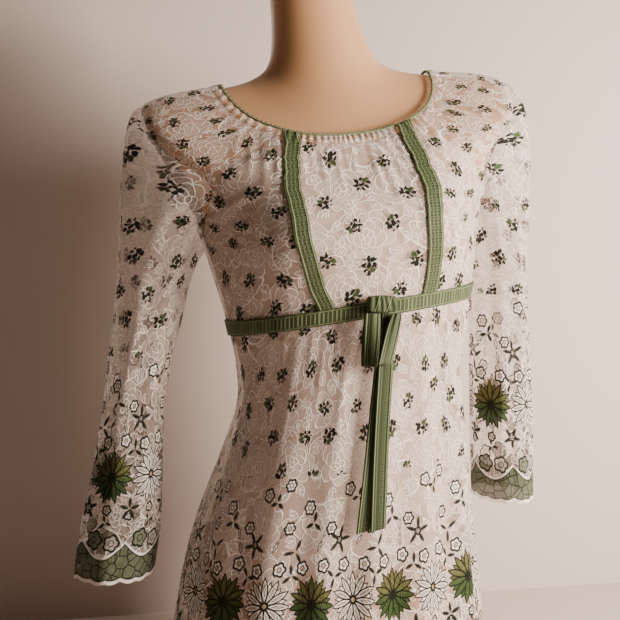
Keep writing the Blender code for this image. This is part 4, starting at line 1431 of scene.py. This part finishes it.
# %% Small flowers, stems and plain fields
bud_x, bud_y, bud_chance = use(lace_group, scatter, bent_u + 1.3, bent_v, *BUD_SPACING, 0.7, 1.0)
bud, = use(lace_group, petals, bud_x, bud_y, 5.0, 0.12, 0.98, 0.50, 0.0)
eye, bud_distance, _ = use(lace_group, ring, bud_x, bud_y, 0.22, 5.0, 0.0)
buds = bud.line(THIN_HALF, 0.03).most(eye.line(THIN_HALF, 0.03))
stems = lace_edges(0.42, bent_u + bent_v * 0.3, bent_v * 0.7).line(THIN_HALF, 0.035)

patch = Value(lace_group, lace_noise(0.33, 0.0, vector_of(lace_group, bent_v, bent_u)).outputs["Fac"]).over(0.47, 0.03)
buds = buds * patch

field_noise = Value(lace_group, lace_noise(0.17, 0.0, vector_of(lace_group, bent_u, bent_v)).outputs["Fac"])
field = field_noise.over(0.53, 0.004) * (-in_leaf + 1.0) * (-in_rose + 1.0)
field_edge = (field_noise - 0.53).line(0.007, 0.003) * (-in_rose + 1.0)
between = (-in_rose + 1.0) * (-in_leaf + 1.0) * (-field + 1.0)
cord = (buds.most(stems) * between).most(rose_lines, leaf_lines * (-in_rose + 1.0), field_edge)

net = lace_edges(9.0, u, v)
fill = in_rose.most(leaf_ring.over(0.0, 0.05), bud.over(0.0, 0.05) * between * patch)
give(Cord=cord, Net=net.line(0.02, 0.012), Fill=fill)

# %% [markdown]
# ## The printed sprigs
#
# Small dark sprigs are printed over the lace in staggered rows about four centimetres apart, each
# turned its own way. One leaf in each is a lighter green.

# %% One sprig
SPRIG_LEAVES = (
    (0.56, 0.46, 0.95, 0.62, 0.26),
    (0.14, 0.62, 1.15, 0.72, 0.34),
    (-0.26, 0.52, 1.35, 0.54, 0.26),
    (-0.62, 0.16, 2.60, 0.60, 0.30),
    (-0.46, -0.26, -2.75, 0.66, 0.36),
    (0.02, 0.02, 0.50, 0.66, 0.34),
    (0.52, -0.06, 0.10, 0.50, 0.24),
    (0.24, -0.50, -0.80, 0.44, 0.26),
    (-0.20, -0.66, -1.60, 0.40, 0.20),
    (-0.05, 0.10, 0.75, 1.50, 0.11),
    (0.22, -0.20, 2.30, 1.00, 0.09),
)
SPRIG_SPACING = (4.4, 3.6)

sprig_group, (u, v), give = new_group("sprigs", {"U": 0.0, "V": 0.0}, ["Dark", "Green"])
x, y, chance = use(sprig_group, scatter, u, v, *SPRIG_SPACING, 1.5, 1.0)
wobble = sprig_group.nodes.new("ShaderNodeTexNoise")
wobble.inputs["Scale"].default_value = 1.9
put(sprig_group, wobble.inputs["Vector"], vector_of(sprig_group, u, v))
wobble_x, wobble_y = split(sprig_group, wobble.outputs["Color"])
x, y = x + (wobble_x - 0.5) * 0.7, y + (wobble_y - 0.5) * 0.7
stretch = chance * 0.35 + 0.80
parts = []
for at_x, at_y, turn, length, width in SPRIG_LEAVES:
    depth, = use(sprig_group, leaf, x * stretch, y, at_x, at_y, turn, length * 1.1, width * 1.5)
    parts.append(depth)
dark = parts[0].most(*parts[2:]).over(0.015, 0.03)
give(Dark=dark.most(parts[1].line(0.03, 0.02)), Green=parts[1].over(0.03, 0.03))

# %% [markdown]
# ## The printed border
#
# The same border runs round the hem and both cuffs, and repeats every 10.6 centimetres. From the
# edge up it has a white cord, a green band under a white scalloped line, small filled flowers, big
# daisies that are filled and outlined by turns, and rows of ring flowers and leaves that thin out
# into the sprigs. Each row is one motif in a row of cells.

# %% The border's rows
BORDER_TOP = 23.4
border_group, (u, v), give = new_group(
    "border", {"U": 0.0, "V": 0.0}, ["Line", "Green", "Olive", "White", "Tan", "Above"]
)
lines, greens, olives, whites, tans = [], [], [], [], []


def ring_row(period, offset, height, size, lobes, filled=0.0, tan=0.0, shake=0.5):
    """A row of small flowers: a dark wavy ring, a light filling and a dot."""
    x, y, odd, chance = use(border_group, row_of, u, v, period, offset, height)
    shaken = y - (chance - 0.5) * shake
    depth, distance, _ = use(border_group, ring, x, shaken, size, lobes, 0.13)
    lines.append((depth - 0.06).line(0.12, 0.03))
    lines.append((distance - size * 0.36).line(0.05, 0.03))
    whites.append(depth.over(0.05, 0.03) * (1.0 - filled))
    if filled:
        greens.append(depth.over(0.05, 0.03) * filled)
    if tan:
        tans.append((-distance).over(-size * 0.3, 0.03) * tan)


def leaf_row(period, offset, height, count, size, width, turn, fill):
    """A row of small bunches of pointed leaves, filled dark or outlined."""
    x, y, odd, chance = use(border_group, row_of, u, v, period, offset, height)
    depth, = use(border_group, petals, x, y - (chance - 0.5) * 0.4, count, size * 0.12, size, width, chance + turn)
    lines.append(depth.line(0.05, 0.03))
    if fill:
        lines.append(depth.over(0.02, 0.03) * fill)
    return depth


ring_row(BORDER * 2, -1.35, 21.9, 0.68, 5.0)
ring_row(BORDER * 2, 1.35, 22.4, 0.62, 6.0)
leaf_row(BORDER * 2, 0.0, 21.2, 3.0, 0.9, 0.34, 0.6, 1.0)
ring_row(BORDER * 2, 4.1, 20.2, 0.70, 6.0)
leaf_row(BORDER * 2, 4.9, 18.9, 3.0, 1.1, 0.34, 2.4, 1.0)
ring_row(BORDER, 1.9, 18.3, 0.62, 6.0, tan=0.8)
leaf_row(BORDER, 0.9, 17.2, 2.0, 1.3, 0.30, 1.2, 0.0)
bunch = leaf_row(BORDER * 2, -2.2, 16.9, 5.0, 1.45, 0.32, 0.3, 1.0)
ring_row(BORDER * 2, -2.2, 16.9, 0.40, 5.0, tan=0.6, shake=0.4)
leaf_row(BORDER * 2, 2.9, 16.2, 3.0, 1.35, 0.30, 0.9, 1.0)
ring_row(BORDER / 2, 1.3, 14.5, 0.68, 5.0, tan=0.8, shake=0.7)
leaf_row(BORDER, 2.65, 13.6, 3.0, 1.1, 0.30, 1.7, 1.0)

# %% The big daisies
x, y, odd, chance = use(border_group, row_of, u, v, BORDER, 0.0, 11.0)
front, = use(border_group, petals, x, y, 11.0, 0.30, 2.75, 0.66, 0.1)
behind, = use(border_group, petals, x, y, 11.0, 0.30, 2.35, 0.62, 0.1 + math.pi / 11)
_, distance, _ = use(border_group, ring, x, y, 1.0, 5.0, 0.0)
plain = -odd + 1.0
daisy_lines = front.line(0.075, 0.03).most(behind.line(0.065, 0.03) * (-front).over(0.0, 0.03))
lines.append(daisy_lines)
lines.append((-distance).over(-0.7, 0.3) * (-front).over(-0.10, 0.05) * odd)
lines.append((front - 0.24).line(0.035, 0.02) * plain * 0.8)
lines.append((distance - 0.42).line(0.05, 0.03) * plain)
whites.append(front.most(behind).over(0.03, 0.03) * plain)
tans.append(((-distance).over(-0.38, 0.03)).most((front - 0.24).over(0.0, 0.04) * 0.5) * plain)
upper = y.over(0.1, 0.5)
greens.append(front.most(behind).over(0.02, 0.03) * odd)
olives.append(front.most(behind).over(0.02, 0.03) * odd * upper * 0.75)

# %% Flowers under the daisies, the white scalloped line and the green band
ring_row(BORDER / 2, 0.0, 7.2, 0.50, 5.0, tan=0.5, shake=1.0)
leaf_row(BORDER, 2.65, 7.6, 5.0, 1.2, 0.34, 0.2, 1.0)
leaf_row(BORDER, 0.0, 6.4, 3.0, 0.8, 0.26, 1.9, 1.0)
ring_row(BORDER, -1.0, 4.5, 0.92, 5.0, filled=0.85, shake=0.3)
ring_row(BORDER, 1.05, 4.3, 0.84, 5.0, filled=0.35, shake=0.3)

arc = (-abs(u.wave(BORDER * 2)) + 1.0) * 1.6 + 2.75
hem = (-abs(u.wave(LOBE * 2)) + 1.0) * LOBE_DEPTH + (-abs(u.wave(BORDER * 2)) + 1.0) * ARC_DEPTH
above_arc = v - arc
in_band = (-above_arc).over(0.14, 0.04) * (v - hem).over(0.42, 0.04)
blotch = border_group.nodes.new("ShaderNodeTexVoronoi")
blotch.feature = "DISTANCE_TO_EDGE"
blotch.voronoi_dimensions = "2D"
blotch.inputs["Scale"].default_value = 0.95
put(border_group, blotch.inputs["Vector"], vector_of(border_group, u, v))
veins = Value(border_group, blotch.outputs["Distance"])
greens.append(in_band * 0.9)
lines.append(veins.line(0.06, 0.04) * in_band)
lines.append((above_arc + 0.22).line(0.06, 0.03))
lines.append((v - hem - 0.44).line(0.06, 0.03))
whites.append(above_arc.line(0.16, 0.04))
whites.append((-(v - hem)).over(-0.36, 0.04))

near = (-v).over(-BORDER_TOP, 0.02)
give(
    Line=lines[0].most(*lines[1:]) * near,
    Green=greens[0].most(*greens[1:]) * near,
    Olive=olives[0].most(*olives[1:]) * near,
    White=whites[0].most(*whites[1:]) * near,
    Tan=tans[0].most(*tans[1:]) * near,
    Above=v.over(BORDER_TOP, 0.02),
)

# %% [markdown]
# ## The lace's finish
#
# The finish reads the cloth's own UV map. The net lets light through and the cords and the print do
# not, so the mask of both sets the alpha. The cords also raise the surface a little, through a Bump
# node, and the lace has little gloss.

# %% Build the lace finishes
IVORY_NET = (0.66, 0.51, 0.42, 1.0)
IVORY_CORD = (0.97, 0.91, 0.85, 1.0)
PRINT_DARK = (0.007, 0.011, 0.006, 1.0)
PRINT_GREEN = (0.038, 0.070, 0.020, 1.0)
PRINT_OLIVE = (0.130, 0.118, 0.042, 1.0)
PRINT_TAN = (0.42, 0.29, 0.17, 1.0)


def cloth_lengths(tree):
    """The cloth's own distances along and up, in centimetres."""
    node = tree.nodes.new("ShaderNodeUVMap")
    node.uv_map = "cloth"
    u, v = split(tree, node.outputs[0])
    return u * 100.0, v * 100.0


def mixed(tree, mask, low, high):
    node = tree.nodes.new("ShaderNodeMix")
    node.data_type = "RGBA"
    put(tree, node.inputs["Factor"], mask)
    put(tree, node.inputs["A"], low)
    put(tree, node.inputs["B"], high)
    return node.outputs["Result"]


def new_finish(name, roughness, sheen=0.0):
    made = bpy.data.materials.new(name)
    made.use_nodes = True
    shader = made.node_tree.nodes["Principled BSDF"]
    shader.inputs["Roughness"].default_value = roughness
    shader.inputs["Sheen Weight"].default_value = sheen
    return made, made.node_tree, shader


def raise_surface(tree, shader, height, distance):
    bump = tree.nodes.new("ShaderNodeBump")
    bump.inputs["Distance"].default_value = distance
    put(tree, bump.inputs["Height"], height)
    tree.links.new(bump.outputs["Normal"], shader.inputs["Normal"])


def lace_finish(name, net_alpha, bordered, cord_cover=0.94):
    made, tree, shader = new_finish(name, 0.75)
    shader.inputs["Specular IOR Level"].default_value = 0.12
    u, v = cloth_lengths(tree)
    cord, net, fill = use(tree, lace_group, u, v)
    dark, green = use(tree, sprig_group, u, v)
    colour = mixed(tree, cord.most(fill * 0.3), IVORY_NET, IVORY_CORD)
    printed = dark.most(green)
    if bordered:
        line, leafy, olive, white, tan, above = use(tree, border_group, u, v)
        dark, green = dark * above, green * above
        colour = mixed(tree, white, colour, IVORY_CORD)
        colour = mixed(tree, tan, colour, PRINT_TAN)
        colour = mixed(tree, leafy, colour, PRINT_GREEN)
        colour = mixed(tree, olive, colour, PRINT_OLIVE)
        colour = mixed(tree, line, colour, PRINT_DARK)
        printed = dark.most(green, line, leafy, olive, white * 0.8, tan)
    colour = mixed(tree, green, colour, PRINT_GREEN)
    colour = mixed(tree, dark, colour, PRINT_DARK)
    tree.links.new(colour, shader.inputs["Base Color"])
    ground = net * 0.20 + fill * 0.11 + net_alpha
    cover = ground.most(cord * cord_cover, printed * 0.98)
    put(tree, shader.inputs["Alpha"], cover)
    raise_surface(tree, shader, cord + net * 0.15, 0.0006)
    return made


body_lace = lace_finish("body lace", 0.20, False)
skirt_lace = lace_finish("skirt lace", 0.28, False)
skirt_border = lace_finish("bordered skirt lace", 0.28, True)
sleeve_lace = lace_finish("sleeve lace", 0.05, False, 0.72)
sleeve_border = lace_finish("bordered sleeve lace", 0.05, True, 0.72)


def dress(piece, finish):
    piece.data.materials.clear()
    piece.data.materials.append(finish)


for piece in (bodice_front, bodice_back, casing):
    dress(piece, body_lace)


def add_border(piece, finish):
    """The faces that reach below the border's top take the bordered finish, which is slower to render."""
    piece.data.materials.append(finish)
    heights = piece.data.uv_layers["cloth"].data
    for face in piece.data.polygons:
        if min(heights[corner].uv[1] for corner in face.loop_indices) * 100.0 < BORDER_TOP + 0.1:
            face.material_index = 1


for piece in (skirt_front, skirt_back):
    dress(piece, skirt_lace)
    add_border(piece, skirt_border)
for piece in (sleeve_right, sleeve_left):
    dress(piece, sleeve_lace)
    add_border(piece, sleeve_border)

# %% [markdown]
# ## The lining's and the form's finishes
#
# The lining is a smooth, slightly lustrous knit. The form is moulded plastic with a soft shine and a
# faint mottle, and its arm plates are dark brown.

# %% Build the plain finishes
def soft_mottle(tree, scale, low, high):
    at = tree.nodes.new("ShaderNodeTexCoord")
    noise = tree.nodes.new("ShaderNodeTexNoise")
    noise.inputs["Scale"].default_value = scale
    noise.inputs["Detail"].default_value = 3.0
    tree.links.new(at.outputs["Object"], noise.inputs["Vector"])
    return mixed(tree, noise.outputs["Fac"], low, high), noise.outputs["Fac"]


lining_finish, tree, shader = new_finish("lining knit", 0.42, 0.2)
colour, grain = soft_mottle(tree, 9.0, (0.60, 0.44, 0.36, 1.0), (0.71, 0.55, 0.46, 1.0))
tree.links.new(colour, shader.inputs["Base Color"])
u, v = cloth_lengths(tree)
raise_surface(tree, shader, u.wave(0.08) * 0.5 + v.wave(0.10) * 0.5, 0.00008)
dress(lining_front, lining_finish)
dress(lining_back, lining_finish)

skin_finish, tree, shader = new_finish("moulded form", 0.38)
shader.inputs["Subsurface Weight"].default_value = 0.12
shader.inputs["Subsurface Scale"].default_value = 0.01
colour, grain = soft_mottle(tree, 14.0, (0.53, 0.29, 0.145, 1.0), (0.59, 0.34, 0.175, 1.0))
tree.links.new(colour, shader.inputs["Base Color"])
raise_surface(tree, shader, grain, 0.0003)
dress(form, skin_finish)

plate_finish, tree, shader = new_finish("arm plate", 0.45)
colour, grain = soft_mottle(tree, 40.0, (0.09, 0.045, 0.025, 1.0), (0.14, 0.075, 0.04, 1.0))
tree.links.new(colour, shader.inputs["Base Color"])
raise_surface(tree, shader, grain, 0.0004)
for name in ("arm_plate_right", "arm_plate_left"):
    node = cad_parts[name]
    for place in node.material_slots:
        place.material = plate_finish

# %% [markdown]
# ## The ribbons
#
# All the ribbon is one olive green, but the bow's green is darker: painted shade, because the bow
# hangs on the shadow side. The front trims have a fine chequered weave between pale edge lines. The
# waist trim has a ladder of light and dark rungs. The bow's ribbon is finely ribbed, with pale lines
# along it. All three are stripes and checks of the distances across and along the ribbon.

# %% Build the ribbon finishes
RIBBON_GREEN = (0.068, 0.094, 0.034, 1.0)
RIBBON_DARK = (0.020, 0.034, 0.011, 1.0)
RIBBON_PALE = (0.22, 0.27, 0.13, 1.0)


def ribbon_finish(name, kind, crosswise, half, middle=0.0, green=RIBBON_GREEN):
    """The ribbon's length runs up the UV map, or along it when crosswise."""
    made, tree, shader = new_finish(name, 0.6, 0.04)
    shader.inputs["Specular IOR Level"].default_value = 0.3
    u, v = cloth_lengths(tree)
    along, across = (u, v - middle) if crosswise else (v, u - middle)
    side = abs(across)
    edge_line = (side - half * 0.78).line(0.05, 0.03)
    selvedge = side.over(half * 0.88, 0.02)
    if kind == "chequer":
        windows = along.wave(0.30).over(0.0, 0.5) * across.wave(0.40).over(-0.1, 0.4) * (-side).over(-half * 0.7, 0.04)
        weave = -windows + 1.0
        pale = (along.wave(0.90) * across.wave(0.40)).over(0.5, 0.4) * 0.25
    elif kind == "ladder":
        rungs = (along.wave(0.44) + along.wave(1.9) * 0.35).over(0.45, 0.35)
        middle_part = (-side).over(-half * 0.66, 0.03)
        weave = rungs * middle_part + 0.35
        pale = rungs * middle_part * 0.6
    else:
        rungs = along.wave(0.22).over(0.0, 0.6)
        ladder = (across - half * 0.28).line(half * 0.17, 0.02)
        weave = rungs * ladder * 0.8 + (-side).over(-half * 0.95, 0.03) * 0.3
        rails = (across - half * 0.28).line(half * 0.25, 0.02) - ladder
        pale = (rails * 0.35).most((across + half * 0.42).line(0.025, 0.02) * 0.7, rungs * ladder * 0.3)
    colour = mixed(tree, weave, RIBBON_DARK, green)
    colour = mixed(tree, pale, colour, RIBBON_PALE)
    colour = mixed(tree, selvedge * 0.6, colour, green)
    colour = mixed(tree, edge_line * 0.8, colour, RIBBON_PALE)
    tree.links.new(colour, shader.inputs["Base Color"])
    raise_surface(tree, shader, weave + edge_line, 0.0005)
    return made


trim_finish = ribbon_finish("chequered ribbon", "chequer", False, TRIM_WIDTH / 2)
waist_finish = ribbon_finish("ladder ribbon", "ladder", True, TRIM_WIDTH / 2, TRIM_WIDTH / 2)
# The bow's darker green is painted shade: the bow hangs on the shadow side, and its ribbon is the same as the trims'.
BOW_GREEN_PAINTED_SHADE = (0.052, 0.074, 0.022, 1.0)
bow_finish_painted_shade = ribbon_finish("ribbed ribbon with painted shade", "ribbed", False, 0.775, green=BOW_GREEN_PAINTED_SHADE)
for piece in (trim_right, trim_left):
    dress(piece, trim_finish)
dress(waist_trim, waist_finish)
for piece in [knot] + bow_pieces:
    dress(piece, bow_finish_painted_shade)

edging_finish, tree, shader = new_finish("crochet thread", 0.7, 0.2)
colour, grain = soft_mottle(tree, 220.0, (0.07, 0.10, 0.035, 1.0), (0.20, 0.25, 0.11, 1.0))
tree.links.new(colour, shader.inputs["Base Color"])
raise_surface(tree, shader, grain, 0.0006)
dress(edging, edging_finish)
dress(picots, edging_finish)

# %% [markdown]
# ## Floor, backdrop and light
#
# A pale floor and a pale backdrop carry a warm, soft key light from the viewer's right, high and in
# front. A weak fill from the left keeps the shadow side warm and readable, so the folds and the lace
# show by their shading. The backdrop stands close behind the blouse and is one-sided: from behind it
# is clear, and a soft lamp there shows the back.

# %% Floor and backdrop
def stage_plane(name, size, location, turn, finish):
    bm = bmesh.new()
    bmesh.ops.create_grid(bm, x_segments=1, y_segments=1, size=size)
    bmesh.ops.rotate(bm, verts=bm.verts, cent=Vector(), matrix=turn)
    bmesh.ops.translate(bm, verts=bm.verts, vec=location)
    mesh = bpy.data.meshes.new(name)
    bm.to_mesh(mesh)
    bm.free()
    mesh.materials.append(finish)
    plane = bpy.data.objects.new(name, mesh)
    bpy.context.scene.collection.objects.link(plane)
    return plane


stage_finish, tree, shader = new_finish("pale wall", 0.9)
shader.inputs["Base Color"].default_value = (0.62, 0.54, 0.49, 1.0)
level = Matrix.Identity(3)
upright = Matrix.Rotation(math.pi / 2, 3, "X")
stage_plane("floor", 4.0, Vector((0.0, 0.0, 0.0)), level, stage_finish)

# %% The one-sided backdrop
one_sided, tree, shader = new_finish("pale backdrop", 0.9)
shader.inputs["Base Color"].default_value = (0.62, 0.54, 0.49, 1.0)
clear = tree.nodes.new("ShaderNodeBsdfTransparent")
choose = tree.nodes.new("ShaderNodeMixShader")
facing = tree.nodes.new("ShaderNodeNewGeometry")
tree.links.new(facing.outputs["Backfacing"], choose.inputs[0])
tree.links.new(shader.outputs[0], choose.inputs[1])
tree.links.new(clear.outputs[0], choose.inputs[2])
tree.links.new(choose.outputs[0], tree.nodes["Material Output"].inputs["Surface"])
backdrop = stage_plane("backdrop", 4.0, Vector((0.0, 0.33, 0.0)), upright, one_sided)
backdrop.visible_shadow = False

# %% Lights
def area_light(name, at, towards, power, size, colour):
    data = bpy.data.lights.new(name, "AREA")
    data.energy = power
    data.size = size
    data.color = colour
    light = bpy.data.objects.new(name, data)
    light.location = at
    light.rotation_euler = (Vector(towards) - Vector(at)).to_track_quat("-Z", "Y").to_euler()
    bpy.context.scene.collection.objects.link(light)


area_light("key", (1.02, -0.74, 0.66), (0.0, 0.0, 0.42), 54.0, 0.5, (1.0, 0.87, 0.77))
area_light("fill", (-1.3, -1.2, 0.7), (0.0, 0.0, 0.4), 0.15, 1.2, (1.0, 0.72, 0.52))
area_light("top", (0.2, -0.5, 1.9), (0.0, 0.0, 0.5), 1.0, 1.0, (1.0, 0.86, 0.74))
area_light("back", (-0.9, 1.7, 1.2), (0.0, 0.1, 0.4), 5.5, 0.9, (1.0, 0.87, 0.77))

world = bpy.data.worlds.new("soft room")
bpy.context.scene.world = world
world.use_nodes = True
room = world.node_tree.nodes["Background"]
room.inputs["Color"].default_value = (1.0, 0.70, 0.50, 1.0)
room.inputs["Strength"].default_value = 0.035
seen = world.node_tree.nodes.new("ShaderNodeBackground")
seen.inputs["Color"].default_value = (0.36, 0.31, 0.28, 1.0)
rays = world.node_tree.nodes.new("ShaderNodeLightPath")
either = world.node_tree.nodes.new("ShaderNodeMixShader")
world.node_tree.links.new(rays.outputs["Is Camera Ray"], either.inputs[0])
world.node_tree.links.new(room.outputs[0], either.inputs[1])
world.node_tree.links.new(seen.outputs[0], either.inputs[2])
world.node_tree.links.new(either.outputs[0], world.node_tree.nodes["World Output"].inputs["Surface"])

# %% [markdown]
# ## The cuts of the cloth
#
# Each piece of cloth is declared with the size that it was cut to, in metres.

def declare(piece, width, length):
    print("cut", piece.name, width, "by", length, "m")


declare(lining_front, 0.50, 0.46)
declare(lining_back, 0.48, 0.45)
declare(bodice_front, 0.50, 0.29)
declare(bodice_back, 0.50, 0.29)
declare(skirt_front, 0.56, 0.42)
declare(skirt_back, 0.56, 0.42)
declare(sleeve_right, 0.36, 0.50)
declare(sleeve_left, 0.36, 0.50)

declare(casing, 0.80, 0.012)
declare(trim_right, 0.016, 0.215)
declare(trim_left, 0.016, 0.207)
declare(waist_trim, 0.80, 0.016)
loop_right, loop_left, tail_right, tail_left = bow_pieces
declare(loop_right, 0.0165, 0.108)
declare(loop_left, 0.015, 0.105)
declare(tail_right, 0.0155, 0.215)
declare(tail_left, 0.0155, 0.215)
